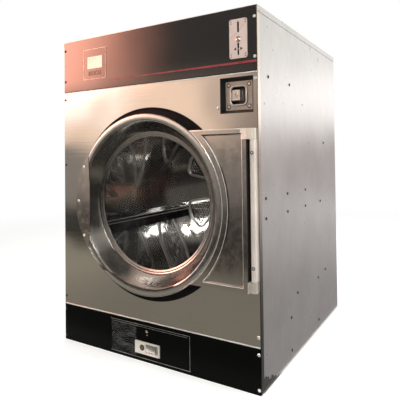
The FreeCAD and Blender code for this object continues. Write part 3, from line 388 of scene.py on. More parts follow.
# Studio: pale floor, cards out of the camera's sight that the metal reflects, soft lamps
floorSet = {"reach": 40, "pale": (0.86, 0.86, 0.85), "lift": (0.3, 0.3, 0.3), "far": (1, 1, 1),
            "ease": (1.6, 5)}
wallY = frontY - 2.4
wallSet = {"room": (0.31, 0.285, 0.25), "near": (0.19, 0.175, 0.16), "high": (0.24, 0.22, 0.2),
           "peach": (1.3, 0.98, 0.76), "white": (1.8, 1.65, 1.5), "bench": (0.05, 0.047, 0.044),
           "window": (13, 5.5, 3.9)}
flagSet = {"brown": (0.245, 0.225, 0.185), "left": (0.34, 0.315, 0.25), "shade": (0.035, 0.032, 0.028),
           "softbox": (2.3, 2.3, 2.26), "softTop": (1.42, 1.44, 1.38), "softFoot": (0.56, 0.51, 0.5),
           "rightFlag": (0.05, 0.047, 0.044), "sideFlag": (0.43, 0.42, 0.41), "sideFar": (0.7, 0.68, 0.67),
           "ceilingFlag": (0.07, 0.07, 0.06), "ceilingLeft": (0.82, 0.66, 0.58),
           "ceilingRight": (0.42, 0.41, 0.37), "doorFlag": (0.05, 0.047, 0.042)}


def moveVerts(bm, verts, by):
    bmesh.ops.translate(bm, verts=verts, vec=by)


def turnVerts(bm, verts, degrees, axis):
    bmesh.ops.rotate(bm, verts=verts, cent=(0, 0, 0), matrix=Matrix.Rotation(radians(degrees), 3, axis))


def stretchVerts(bm, verts, low, high, flat=None):
    bmesh.ops.scale(bm, verts=verts, vec=[1 if i == flat else high[i] - low[i] for i in range(3)])
    moveVerts(bm, verts, [(a + b) / 2 for a, b in zip(low, high)])


def flatPatch(bm, low, high):
    # a flat sheet between two corners that share one coordinate
    made = bmesh.ops.create_grid(bm, x_segments=1, y_segments=1, size=0.5)["verts"]
    flat = [i for i in range(3) if abs(high[i] - low[i]) < 1e-9][0]
    if flat < 2:
        turnVerts(bm, made, 90, "YX"[flat])
    stretchVerts(bm, made, low, high, flat)
    return made


def meshObject(name, bm, material):
    mesh = bpy.data.meshes.new(name)
    bm.to_mesh(mesh)
    bm.free()
    mesh.materials.append(material)
    return addObject(name, mesh)


def stageSheet(name, low, high, material):
    bm = bmesh.new()
    flatPatch(bm, low, high)
    sheet = meshObject(name, bm, material)
    return sheet


def seenRays():
    # what the camera sees, straight or in metal and glass
    rays = [addNode("LightPath", out=kind)
            for kind in ("Is Camera Ray", "Is Glossy Ray", "Is Transmission Ray")]
    return rays[0].most(rays[1]).most(rays[2])


def addFloor():
    paint = startFinish("studioFloor")
    putAll({"Roughness": 0.9, "Specular IOR Level": 0, "Emission Strength": 1})
    far = ease(length(axis("X"), axis("Y")), *floorSet["ease"])
    put("Base Color", mix(far, floorSet["pale"], black))
    glow = mix(far, floorSet["lift"], floorSet["far"])
    put("Emission Color", mix(seenRays(), black, glow))
    reach = floorSet["reach"]
    stageSheet("studioFloor", (-reach, -reach, 0), (reach, reach, 0), paint)


def wallTone():
    # a dim room with a peach wall, a bright window high at the left and a dark bench
    z = axis("Z")
    blur = noise(1.3, 3, 0.5) - 0.5
    rise = z + blur * 0.25
    side = axis("X") + blur * 0.7
    below = ease(z, 1.85, 1.55)
    peach = ease(rise, 0.87, 1.08) * below * ease(side, -0.3, -1.5)
    glare = ease(rise, 1.1, 1.38) * below * ease(side, -2.1, -3)
    window = ease(side, -1.45, -3.6) * ease(z, 1.5, 1.8)
    return layers(wallSet, wallSet["room"], near=ease(side, -1.8, -0.7), high=ease(z, 0.9, 1.6),
                  peach=peach, white=glare, bench=ease(z, 0.4, 0.2), window=window)


def floorTone():
    x = axis("X")
    left = ease(x, -0.5, -1.6)
    dim = ease(frontY - axis("Y") - left * 0.35, 1.2, 1.55)
    near = layers(flagSet, flagSet["brown"], left=left, shade=ease(x, 0.5, 0.9))
    return mix(dim, near, flagSet["shade"])


def sideTone():
    return mix(ease(axis("Y"), 0.6, 2.4), flagSet["sideFlag"], flagSet["sideFar"])


def ceilingTone():
    x = axis("X")
    return layers(flagSet, flagSet["ceilingFlag"], ceilingRight=ease(x, 0.6, 1.9),
                  ceilingLeft=ease(x, -0.3, -1.5))


def doorTone():
    # edges fade out
    low, high = cardSets["doorFlag"][:2]
    x = axis("X")
    fade = ease(x, low[0] - 0.02, low[0] + 0.06) * ease(x, high[0], high[0] - 0.06)
    put("Alpha", fade * ease(axis("Y"), low[1], low[1] + 0.1))
    return flagSet["doorFlag"]


def softboxTone():
    z = axis("Z")
    band = ease(z, 1.05, 1.25) * ease(z, 1.95, 1.75)
    return layers(flagSet, flagSet["softFoot"], softTop=ease(z, 1.7, 1.95), softbox=band)


cardSets = {
    "warmWall": ((-8, wallY, 0), (3.2, wallY, 4.2), wallTone),
    "floorFlag": ((-6, wallY, 0.003), (4, frontY - 0.1, 0.003), floorTone),
    "rightFlag": ((2.9, wallY, 0), (2.9, frontY + 0.2, 3.2), lambda: flagSet["rightFlag"]),
    "sideFlag": ((0.492, frontY - 0.08, 0.004), (4, 3.38, 0.004), sideTone),
    "ceilingFlag": ((-5, frontY - 2.38, 2.7), (4.5, 1.2, 2.7), ceilingTone),
    "doorFlag": ((-0.3, frontY - 0.66, 0.35), (0.15, frontY - 0.042, 0.35), doorTone),
    "backSoftbox": ((0.9, 3.4, 0.3), (5, 3.4, 3.4), softboxTone),
}


def addCards():
    for name, (low, high, tint) in cardSets.items():
        paint = startFinish(name)
        putAll({"Base Color": black, "Roughness": 1, "Specular IOR Level": 0, "Emission Strength": 1})
        put("Emission Color", tint())
        sheet = stageSheet(name, low, high, paint)
        sheet.visible_camera = False
        sheet.visible_shadow = False
        sheet.visible_diffuse = name == "backSoftbox"


lampSet = table("at aim size watts tint", {
    "top": ((0.3, -0.8, 3.4), (0, 0, 0.6), 3, 70, (1, 0.98, 0.95)),
    "right": ((3.2, -0.6, 1.9), (0.4, 0.1, 0.7), 2, 40, (0.97, 0.98, 1)),
    "front": ((0.7, -2.6, 1.9), (0, -0.4, 0.6), 0.45, 16, (1, 0.97, 0.93)),
    "drum": ((0.14, -0.36, 0.95), (-0.17, 0.25, 0.6), 0.09, 0.42, (1, 1, 1)),
    "behind": ((-0.8, 3, 2.6), (0, 0, 0.7), 2.4, 40, (1, 1, 1)),
})


def addLamps():
    for name, lamp in lampSet.items():
        data = bpy.data.lights.new(name + "Lamp", "AREA")
        data.energy = lamp["watts"]
        data.size = lamp["size"]
        data.color = lamp["tint"]
        obj = addObject(name + "Lamp", data)
        obj.location = lamp["at"]
        aim = Vector(lamp["aim"]) - Vector(lamp["at"])
        obj.rotation_euler = aim.to_track_quat("-Z", "Y").to_euler()
        obj.visible_camera = False
        obj.visible_glossy = name in ("front", "drum")


skySet = {"seen": (1, 1, 1), "soft": (0.45, 0.45, 0.44)}


def addWorld():
    world = bpy.data.worlds.new("studioWorld")
    bpy.context.scene.world = world
    startFinish("studioWorld", world)
    sky = bench["tree"].nodes["Background"]
    feed(sky.inputs["Color"], mix(seenRays(), skySet["soft"], skySet["seen"]))


addFloor()
addCards()
addLamps()
addWorld()
print("studio set")

# Finishes
rolled = ((40, 40, 40), 0.002, 3, 0.002)
steelLooks = table("pale dark rough grain fine waveScale wave", {
    "frontSteel": ((0.68, 0.65, 0.62), (0.62, 0.59, 0.56), 0.11, (5, 5, 700), 0.004, 2.8, 0.016),
    # The posts' steel: its warm cream tone is partly painted reflection of warm light, and its dark foot
    # colour is painted shade towards the floor
    "postSteelPaintedLight": ((0.62, 0.54, 0.46), (0.56, 0.48, 0.41), 0.28, (400, 400, 4), 0.004, 2, 0.004,
                  {"foot": (0.05, 0.045, 0.038), "footTop": 0.95}),
    "bowlSteel": ((0.51, 0.485, 0.46), (0.45, 0.425, 0.4), 0.21, *rolled),
    "lipSteel": ((0.76, 0.77, 0.77), (0.7, 0.71, 0.71), 0.2, *rolled),
    "retainerSteel": ((0.49, 0.48, 0.465), (0.43, 0.42, 0.405), 0.21, *rolled),
    "doorSteel": ((0.7, 0.67, 0.64), (0.62, 0.59, 0.56), 0.2, (40, 40, 40), 0.003, 3, 0.005),
    # The lifters' steel is painted dark, a painted shade
    "lifterSteelPaintedShade": ((0.22, 0.215, 0.205), (0.16, 0.155, 0.15), 0.16, (60, 8, 60), 0.002, 5, 0.004),
})
# The wing's shell steel: pale hinge pads, and a near-black colour on the wing's side that is painted shade
steelLooks["shellSteel"] = {**steelLooks["doorSteel"], "pad": (0.62, 0.56, 0.49),
                            "topPad": (0.88, 0.79, 0.7), "hollow": (0.012, 0.011, 0.01)}
zincLooks = table("pale dark bright pit rough wave", {
    "sideZinc": ((0.56, 0.53, 0.52), (0.47, 0.44, 0.43), (0.75, 0.74, 0.73), (0.08, 0.07, 0.06),
                 0.36, 0.004),
    "innerZinc": ((0.52, 0.52, 0.51), (0.42, 0.42, 0.41), (0.66, 0.66, 0.65), (0.08, 0.07, 0.06),
                  0.42, 0.002),
})
zincLooks["wornZinc"] = {**zincLooks["sideZinc"], "worn": (0.01, 0.01, 0.01), "wornTop": 0.06,
                         "wornSlope": 0.33}
drumLook = {"pale": (0.66, 0.65, 0.63), "dark": (0.58, 0.57, 0.55), "hollow": (0.012, 0.012, 0.012),
            "rough": 0.06, "radius": 0.4, "pitch": 0.012, "hole": 0.0038, "cloud": 5, "waveScale": 7,
            "wave": 0.0006, "rise": 0.0002}
drumBackLook = {**drumLook, "dark": (0.56, 0.55, 0.53), "petals": 6, "tip": 0.092, "spread": 0.3,
                "start": 0.125, "end": 0.315, "soft": 0.004, "pitch": 0.017, "rowStep": 0.866, "cloud": 6,
                "waveScale": 6, "wave": 0.006, "rise": 0.001}
# The finger well's deep colour is painted shade
vaultLook = {"pale": (0.46, 0.44, 0.4), "dark": (0.4, 0.38, 0.35), "block": (0.7, 0.71, 0.67),
             "deep": (0.1, 0.09, 0.085), "rough": 0.34, "blockHalf": (0.0175, 0.0195)}
silverLooks = table("pale dark metal rough", {
    "coinSilver": ((0.68, 0.59, 0.55), (0.62, 0.53, 0.49), 0.35, 0.36,
                   {"scratch": (0.412, 1.264, 0.85), "scored": (0.28, 0.22, 0.2)}),
    "latchSilver": ((0.9, 0.87, 0.8), (0.82, 0.79, 0.72), 0.35, 0.34),
    "rimSilver": ((0.62, 0.62, 0.58), (0.55, 0.55, 0.51), 0.7, 0.32),
})
paintLooks = table("colour rough coat dust gloss", {
    "fasciaBlack": ((0.014, 0.013, 0.012), 0.12, 0.6, 0.02, 0.5),
    "kickBlack": ((0.003, 0.0036, 0.003), 0.3, 0, 0.004, 0.03),
    "outlineGloss": ((0.8, 0.55, 0.48), 0.12, 0.6, 0, 0.5),
    "vaultBlack": ((0.012, 0.011, 0.011), 0.35, 0.1, 0.03, 0.5),
})
plainLooks = table("colour metal rough scale", {
    "platedLock": ((0.66, 0.63, 0.59), 1, 0.22, 300),
    "hingeAlloy": ((0.86, 0.77, 0.7), 0.45, 0.4, 90, {"stretch": (9, 9, 0.3)}),
    "platedScrew": ((0.62, 0.6, 0.57), 1, 0.24, 400),
    "sealRubber": ((0.008, 0.007, 0.008), 0, 0.45, 500, {"spread": 0.3, "gloss": 0.08}),
    "greyMoulding": ((0.16, 0.16, 0.17), 0, 0.5, 700),
    "boardGreen": ((0.03, 0.11, 0.05), 0, 0.4, 200, {"spread": 0.3}),
    "groundSteel": ((0.6, 0.6, 0.59), 1, 0.2, 500),
    "castAlloy": ((0.52, 0.52, 0.51), 0.9, 0.42, 350),
    "heatedSteel": ((0.26, 0.19, 0.14), 0.9, 0.4, 250, {"spread": 0.35}),
    "hemGrey": ((0.72, 0.71, 0.68), 0.35, 0.42, 300),
    # Pale trim, also used for the painted highlights along the door's field
    "paleTrimAndPaintedHighlight": ((0.85, 0.82, 0.78), 0.5, 0.34, 300),
    "petalSatin": ((0.78, 0.75, 0.72), 0.45, 0.32, 200),
    "lockBronze": ((0.2, 0.15, 0.08), 0.7, 0.3, 300),
    "selectorBlack": ((0.008, 0.008, 0.008), 0, 0.5, 700, {"gloss": 0.1}),
    "redPaint": ((0.27, 0.034, 0.045), 0, 0.28, 300),
    "keyBrown": ((0.3, 0.13, 0.1), 0, 0.25, 600),
    "bronzeScrew": ((0.74, 0.64, 0.56), 0.55, 0.3, 400),
    "wornEdge": ((0.46, 0.45, 0.43), 0.6, 0.4, 500, {"spread": 0.4}),
    # Black for joints, also used for the painted shadow rings round the vault screws
    "seamBlackAndPaintedShadow": ((0.004, 0.004, 0.004), 0, 0.6, 300, {"gloss": 0.1}),
    # Dark marks, also used for the painted shade along the top of the door's field
    "darkMarkAndPaintedShade": ((0.025, 0.021, 0.02), 0, 0.5, 400, {"gloss": 0.2}),
})
screwLook = {"bright": (0.84, 0.83, 0.81), "darkHead": (0.05, 0.038, 0.025), "leftOf": -0.4575,
             "rightOf": 0.4887}
glassLook = {"colour": (0.02, 0.022, 0.022), "ior": 1.5}
screenLook = {"unlit": (0.16, 0.14, 0.11), "lit": (0.98, 0.84, 0.62), "bar": (0.4, 0.24, 0.17),
              "bars": (5, 6)}
meshLook = {"pitch": 0.003, "hollow": (0.05, 0.05, 0.05), "wire": (0.55, 0.55, 0.54)}
filmLook = {"colour": (0.55, 0.55, 0.55)}
skin = {}
for maker, looks in ((steelSheet, steelLooks), (zincSheet, zincLooks), (glossPaint, paintLooks),
                     (plainFinish, plainLooks), (satinSilver, silverLooks),
                     (drumSheet, {"drumPerforated": drumLook}),
                     (drumBackSheet, {"drumMirror": drumBackLook}), (vaultSheet, {"vaultSteel": vaultLook}),
                     (screwPlating, {"edgeScrew": screwLook}), (windowGlass, {"windowGlass": glassLook}),
                     (litScreen, {"litScreen": screenLook}), (meshScreen, {"lintMesh": meshLook}),
                     (clearFilm, {"clearFilm": filmLook})):
    for coat, look in looks.items():
        skin[coat] = startFinish(coat)
        maker(look)

# Which nodes of the frame wear which finish
dressed = {
    "frontSteel": "front_panel",
    "postSteelPaintedLight": "front_left_post front_right_post",
    "shellSteel": "door_shell",
    "doorSteel": "handle_plate glass_retainer",
    "drumPerforated": "drum_shell",
    "lifterSteelPaintedShade": "drum_lifters",
    "drumMirror": "drum_back",
    "sideZinc": "left_side_panel top_cover back_panel",
    "wornZinc": "right_side_panel",
    "innerZinc": "base_plate bulkhead bearing_beam blower_housing exhaust_collar heater_box lint_tray"
                 " drawer_runners cash_box coin_chute",
    "fasciaBlack": "control_fascia display_bezel",
    "kickBlack": "kick_panel drawer_front",
    "vaultBlack": "vault_housing",
    "coinSilver": "coin_faceplate",
    "latchSilver": "latch_bezel latch_paddle",
    "vaultSteel": "vault_plate",
    "platedLock": "vault_lock reject_button",
    "lockBronze": "latch_lock",
    "hingeAlloy": "hinge_post",
    "platedScrew": "hinge_pins",
    "paleTrimAndPaintedHighlight": "handle_screws",
    "edgeScrew": "panel_screws",
    "windowGlass": "door_glass",
    "litScreen": "display_window",
    "keyBrown": "key_1 key_2 key_3 key_4",
    "sealRubber": "door_seal glass_gasket drum_belt",
    "selectorBlack": "coin_selector",
    "greyMoulding": "cable_gland",
    "boardGreen": "control_board",
    "groundSteel": "drum_shaft bearings",
    "heatedSteel": "heater_elements",
    "castAlloy": "drum_pulley motor_pulley drive_motor blower_motor fan_wheel",
    "lintMesh": "lint_screen",
}
for coat, names in dressed.items():
    for name in names.split():
        for slot in nodes[name].material_slots:
            slot.material = skin[coat]
    print("finish", coat, "on", names)

# How far added trim sits in the face behind it, and how many flats make a round
sunk = 0.0003
thinSunk = 0.0002
flats = {"mark": 12, "nut": 18, "head": 20, "cap": 40, "bead": 48, "hub": 64, "seal": 120, "door": 180}


def addPiece(name, bm, coat, body, slotName=None, sharp=35):
    bmesh.ops.remove_doubles(bm, verts=bm.verts, dist=1e-6)
    bmesh.ops.recalc_face_normals(bm, faces=bm.faces)
    piece = meshObject(name, bm, skin[coat])
    piece.data.shade_smooth()
    piece.data.set_sharp_from_angle(angle=radians(sharp))
    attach(piece, body)
    print("piece", name, "on", body)
    return piece


def soften(bm, geom, offset, segments, affect="EDGES", clamp=False):
    bmesh.ops.bevel(bm, geom=geom, offset=offset, segments=segments, profile=0.5, affect=affect,
                    clamp_overlap=clamp, material=-1)


def slab(bm, low, high, edge=0, segments=2):
    made = bmesh.ops.create_cube(bm, size=1)["verts"]
    stretchVerts(bm, made, low, high)
    if edge:
        soften(bm, list({e for v in made for e in v.link_edges}), edge, segments)
    return made


def addSlabs(name, corners, near, far, edge, segments, *wear):
    # corners: pairs of x and z; near and far: y of the front and of the back
    bm = bmesh.new()
    for low, high in corners:
        slab(bm, (low[0], near, low[1]), (high[0], far, high[1]), edge, segments)
    addPiece(name, bm, *wear)


def turned(bm, profile, centre, steps):
    # profile: radius and y from the axis outwards, spun about the y axis through centre
    ring = [bm.verts.new((centre[0] + radius, y, centre[1])) for radius, y in profile]
    edges = [bm.edges.new(pair) for pair in zip(ring, ring[1:])]
    bmesh.ops.spin(bm, geom=ring + edges, cent=(centre[0], 0, centre[1]), axis=(0, 1, 0), angle=2 * pi,
                   steps=steps, use_merge=True)


def cone(bm, segments, foot, top, depth):
    return bmesh.ops.create_cone(bm, cap_ends=True, segments=segments, radius1=foot, radius2=top,
                                 depth=depth)["verts"]


def addTurned(name, profile, spots, steps, *wear):
    bm = bmesh.new()
    for spot in spots:
        turned(bm, profile, spot, steps)
    return addPiece(name, bm, *wear)


def dome(shape, radius, tall, face, depth):
    # a head: shape holds shares of its radius and of its height above the face
    line = [(radius * out, face - tall * up) for out, up in shape]
    return line + [(radius, face + depth), (0, face + depth)]


def collar(inner, outer, foot, rise, face):
    start = (inner, face + thinSunk)
    return [start, (inner, face - rise), (outer, face - rise), (foot, face + thinSunk), start]


def leaveBorder(bm, width):
    # cuts the middle out of a patch
    patch = bm.faces[:]
    bmesh.ops.inset_region(bm, faces=patch, use_boundary=True, use_even_offset=True, thickness=width)
    bmesh.ops.delete(bm, geom=patch, context="FACES")


def addFrame(name, low, high, look, *wear):
    # raised border round a rectangle on the face at low's y
    bm = bmesh.new()
    y = low[1] - look["rise"]
    made = flatPatch(bm, (low[0], y, low[2]), (high[0], y, high[2]))
    if "corner" in look:
        soften(bm, made, look["corner"], look["steps"], "VERTICES")
    leaveBorder(bm, look["width"])
    bmesh.ops.solidify(bm, geom=bm.faces[:], thickness=-look["rise"] - thinSunk)
    if "edge" in look:
        brink = [e for e in bm.edges if len(e.link_faces) == 2 and e.calc_face_angle() > 1]
        soften(bm, brink, look["edge"], 2)
    addPiece(name, bm, *wear)


def spoke(angle):
    return Vector((cos(angle), 0, sin(angle)))


def roundFace(bm, spot, out, aside, radius):
    # round section with eight corners
    turns = [radians(45 * step) for step in range(8)]
    return bm.faces.new([bm.verts.new(spot + (out * cos(turn) + aside * sin(turn)) * radius)
                         for turn in turns])


def newVerts(made):
    return [v for v in made["geom"] if isinstance(v, bmesh.types.BMVert)]


# Red line along the fascia, thin at its left end
stripeSet = {"left": -0.215, "short": 0.0015, "z": (1.1493, 1.1577), "depth": (0.0006, 0.0004), "tip": 0.35,
             "edge": 0.0002}


def addStripe():
    left = stripeSet["left"]
    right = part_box("control_fascia")[1][0] - stripeSet["short"]
    foot, top = stripeSet["z"]
    proud, behind = stripeSet["depth"]
    bm = bmesh.new()
    made = slab(bm, (left, frontY - proud, foot), (right, frontY + behind, top))
    tip = [v for v in made if v.co.x < left + stripeSet["short"]]
    middle = Matrix.Translation((0, 0, -(foot + top) / 2))
    bmesh.ops.scale(bm, verts=tip, vec=(1, 1, stripeSet["tip"]), space=middle)
    soften(bm, bm.edges[:], stripeSet["edge"], 1)
    addPiece("redStripe", bm, "redPaint", "cabinet")


# Thin pale line round the display panel
outlineSet = {"inset": 0.001, "width": 0.002, "rise": 0.0003}


def addOutline():
    low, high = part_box("display_bezel")
    inset = outlineSet["inset"]
    addFrame("displayOutline", (low[0] + inset, low[1], low[2] + inset),
             (high[0] - inset, low[1], high[2] - inset), outlineSet, "outlineGloss", "cabinet")


# Soft key caps, a little dished
keySet = {"edge": 0.0012, "rim": 0.0012, "dish": 0.0005}


def addKeys():
    for number in range(1, 5):
        node = "key_%d" % number
        low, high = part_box(node)
        bm = bmesh.new()
        slab(bm, low, high, keySet["edge"], 3)
        front = [f for f in bm.faces if f.normal.y < -0.99]
        bmesh.ops.inset_region(bm, faces=front, thickness=keySet["rim"])
        moveVerts(bm, list({v for f in front for v in f.verts}), (0, keySet["dish"], 0))
        cap = addPiece("keyCap%d" % number, bm, "keyBrown", node, "key_plastic")
        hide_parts(node)


# Polished reject button, a domed face and a grip ring: share of the radius, and depth behind the front
rejectSet = {"face": ((0, 0), (0.45, 0.0003), (0.7, 0.001), (0.74, 0.0016), (0.8, 0.0016),
                      (0.86, 0.0006), (0.96, 0.0008), (1, 0.0018))}


def addReject():
    low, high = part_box("reject_button")
    line = dome(rejectSet["face"], (high[0] - low[0]) / 2, -1, low[1], high[1] - low[1])
    cap = addTurned("rejectCap", line, [centreOf("reject_button")], flats["cap"], "platedLock",
                    "reject_button", "lock_metal")
    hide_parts("reject_button")


# Corner marks on the coin plate, a bridge across the return slot and a plain arrow at each side of it
coinSet = {"markInset": 0.007, "markDrops": (0.0065, 0.015), "markShape": ((0, 1), (0.7, 0.8)),
           "mark": 0.0024, "rise": 0.0008, "slotUp": 0.0335, "bridge": (0.005, 0.0012),
           "bridgeDepth": (0.0004, 0.001), "bridgeEdge": 0.0003, "arrowAside": 0.0115, "arrow": 0.0072,
           "arrowTop": 0.8, "arrowRise": 0.0006, "arrowLift": 0.0001}


def addCoinTrim():
    low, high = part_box("coin_faceplate")
    middle = centreOf("coin_faceplate")[0]
    face = low[1]
    slotZ = low[2] + coinSet["slotUp"]
    spots = [(x, z) for x in (low[0] + coinSet["markInset"], high[0] - coinSet["markInset"])
             for drop in coinSet["markDrops"] for z in (low[2] + drop, high[2] - drop)]
    mark = dome(coinSet["markShape"], coinSet["mark"], coinSet["rise"], face, thinSunk)
    addTurned("coinMarks", mark, spots, flats["mark"], "darkMarkAndPaintedShade", "cabinet", "fastener")
    bm = bmesh.new()
    for side in (-1, 1):
        made = cone(bm, 3, coinSet["arrow"], coinSet["arrow"] * coinSet["arrowTop"], coinSet["arrowRise"])
        turnVerts(bm, made, 90, "X")
        turnVerts(bm, made, side * 90, "Y")
        moveVerts(bm, made, (middle + side * coinSet["arrowAside"], face - coinSet["arrowLift"], slotZ))
    addPiece("coinArrows", bm, "darkMarkAndPaintedShade", "cabinet")
    half, tall = coinSet["bridge"]
    proud, behind = coinSet["bridgeDepth"]
    bridge = ((middle - half, slotZ - tall), (middle + half, slotZ + tall))
    addSlabs("coinBridge", [bridge], face - proud, face + behind, coinSet["bridgeEdge"], 2, "coinSilver",
             "cabinet", "coin_silver")


# Vault door trim: a raised rounded rim round the finger well, and a screw at each corner in a dark ring, a
# painted shadow
vaultSet = {"half": (0.0345, 0.0365), "width": 0.005, "rise": 0.0022, "corner": 0.017, "steps": 6,
            "edge": 0.0008, "screwInset": 0.0125, "screw": 0.0056, "screwRise": 0.0026,
            "seat": (0.9, 1.35, 1.42), "seatRise": 0.0005,
            "screwShape": ((0, 0.45), (0.38, 0.45), (0.42, 1), (0.75, 0.8), (1, 0.2))}


def addVaultTrim():
    low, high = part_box("vault_plate")
    face = low[1]
    x, z = centreOf("vault_plate")
    wide, tall = vaultSet["half"]
    addFrame("vaultWellRim", (x - wide, face, z - tall), (x + wide, face, z + tall), vaultSet,
             "rimSilver", "cash_drawer", "coin_silver")
    inset = vaultSet["screwInset"]
    spots = [(x, z) for x in (low[0] + inset, high[0] - inset) for z in (low[2] + inset, high[2] - inset)]
    radius = vaultSet["screw"]
    head = dome(vaultSet["screwShape"], radius, vaultSet["screwRise"], face, sunk)
    addTurned("vaultPlateScrews", head, spots, flats["head"], "bronzeScrew", "cash_drawer", "fastener")
    # painted shadow: a dark ring round each screw head
    seat = collar(*[radius * share for share in vaultSet["seat"]], vaultSet["seatRise"], face)
    addTurned("vaultScrewShadows", seat, spots, flats["head"], "seamBlackAndPaintedShadow", "cash_drawer")


# Hub cap with domed nuts on the back of the drum; the cap's line holds radius and rise
hubSet = {"cap": ((0, 0.01), (0.0144, 0.009), (0.024, 0.003), (0.026, 0), (0.06, 0), (0.062, -0.002)),
          "thick": 0.007, "nuts": 5, "turn": 0.25, "nutRing": 0.043, "nut": 0.0095, "nutTall": 0.015,
          "nutShape": ((0, 0), (0.45, 0.001), (0.75, 0.004), (0.8, 0.008), (1, 0.009))}


def addHub():
    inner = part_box("drum_back")[0][1]
    face = inner - hubSet["thick"]
    line = [(out, face - up) for out, up in hubSet["cap"]]
    bm = bmesh.new()
    turned(bm, line + [(line[-1][0], inner + sunk), (0, inner + sunk)], (doorX, doorZ), flats["hub"])
    tall = hubSet["nutTall"]
    nut = dome(hubSet["nutShape"], hubSet["nut"], -1, face - tall, tall + sunk)
    for number in range(hubSet["nuts"]):
        angle = 2 * pi * (number + hubSet["turn"]) / hubSet["nuts"]
        spot = spoke(angle) * hubSet["nutRing"]
        turned(bm, nut, (doorX + spot.x, doorZ + spot.z), flats["nut"])
    addPiece("drumHub", bm, "groundSteel", "drum", "shaft_steel")


# Rolled hem along the foot of the front panel and a narrow one along its top
hemSet = {"short": 0.0006, "foot": (0.0045, 0.0022, 0.0009), "top": (0.0032, 0.0012, 0.0005)}


def addHem():
    low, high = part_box("front_panel")
    left, right = low[0] + hemSet["short"], high[0] - hemSet["short"]
    bm = bmesh.new()
    tall, proud, edge = hemSet["foot"]
    slab(bm, (left, frontY - proud, low[2] + sunk), (right, frontY + sunk, low[2] + tall), edge)
    tall, proud, edge = hemSet["top"]
    slab(bm, (left, frontY - proud, high[2] - tall), (right, frontY + sunk, high[2] - sunk), edge)
    addPiece("panelHem", bm, "hemGrey", "cabinet", "stainless")


# Dark strip in the joint between the fascia and the front panel
seamSet = {"behind": (0.0003, 0.0027), "above": (0.0002, 0.0028), "short": 0.001, "edge": 0.0003}


def addSeam():
    low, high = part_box("front_panel")
    near, far = seamSet["behind"]
    foot, top = seamSet["above"]
    strip = ((low[0] + seamSet["short"], high[2] + foot), (high[0] - seamSet["short"], high[2] + top))
    addSlabs("seamStrip", [strip], frontY + near, frontY + far, seamSet["edge"], 1, "seamBlackAndPaintedShadow", "cabinet")


# Door seal with a rolled outer bead and a groove inside it: steps in from the edge, and back from the face
sealSet = {"wide": 0.044,
           "line": ((0.044, 0), (0.0097, 0), (0.0097, 0.0018), (0.0085, 0.0018), (0.0085, 0.0004),
                    (0.0073, -0.0006), (0.005, -0.001), (0.0025, -0.001), (0.0008, -0.0002), (0, 0.0014))}


def addSeal():
    low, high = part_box("door_seal")
    outer = (high[0] - low[0]) / 2
    start = (outer - sealSet["wide"], high[1])
    line = [(outer - inset, low[1] + back) for inset, back in sealSet["line"]]
    ring = addTurned("sealRing", [start] + line + [(outer, high[1]), start], [(doorX, doorZ)],
                     flats["seal"], "sealRubber", "cabinet", "black_rubber")
    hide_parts("door_seal")


# Bright half-round lines on the wing, along the ring and along the pressed field
beadSet = {"ring": {"radius": 0.3592, "sweep": 51.5, "thick": 0.001},
           "field": {"radius": 0.3812, "sweep": 43.5, "thick": 0.0009}}
# Painted highlights on the field's foot and side and along the top of the wing, and painted shade along the
# field's top
fieldSet = {"left": 0.277, "right": 0.442, "top": 0.901, "bottom": 0.3705, "line": 0.0026, "fine": 0.0009,
            "proud": 0.0008, "shade": 0.0032, "ridge": ((0.226, 0.914), (0.458, 0.9174)), "edge": 0.0004}


def addBeads():
    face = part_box("handle_plate")[1][1]
    bm = bmesh.new()
    for bead in beadSet.values():
        start = radians(-bead["sweep"])
        out = spoke(start)
        spot = Vector((doorX, face, doorZ)) + out * bead["radius"]
        cap = roundFace(bm, spot, out, Vector((0, 1, 0)), bead["thick"])
        bmesh.ops.spin(bm, geom=[cap] + cap.edges[:] + cap.verts[:], cent=(doorX, 0, doorZ),
                       axis=(0, -1, 0), angle=-2 * start, steps=flats["bead"], use_merge=False)
    addPiece("wingBeads", bm, "paleTrimAndPaintedHighlight", "door", "stainless")
    left, right, top, bottom, fine = [fieldSet[key] for key in ("left", "right", "top", "bottom", "fine")]
    # painted highlights: pale strips on the field's foot and side and on the wing's top ridge; painted
    # shade: a dark strip along the field's top
    bright = (fieldSet["ridge"], ((right - fine, bottom), (right, top)),
              ((left, bottom - fieldSet["line"]), (right, bottom)))
    paintedShadeLines = [((left, top - fieldSet["shade"]), (right - fine, top))]
    for name, lines, coat in (("fieldPaintedHighlights", bright, "paleTrimAndPaintedHighlight"), ("fieldPaintedShade", paintedShadeLines, "darkMarkAndPaintedShade")):
        addSlabs(name, lines, face - fieldSet["proud"], face + fieldSet["proud"], fieldSet["edge"], 2, coat,
                 "door", "stainless")


# Dark gap round the head of each screw in the hinge post
seatSet = {"inset": 0.047, "inner": 0.0036, "outer": 0.0062, "foot": 0.0065, "proud": 0.0006}


def addHingeSeats():
    low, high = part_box("hinge_post")
    x = centreOf("hinge_post")[0]
    line = collar(seatSet["inner"], seatSet["outer"], seatSet["foot"], seatSet["proud"], low[1])
    spots = [(x, low[2] + seatSet["inset"]), (x, high[2] - seatSet["inset"])]
    addTurned("hingeScrewSeats", line, spots, flats["head"], "darkMarkAndPaintedShade", "cabinet")


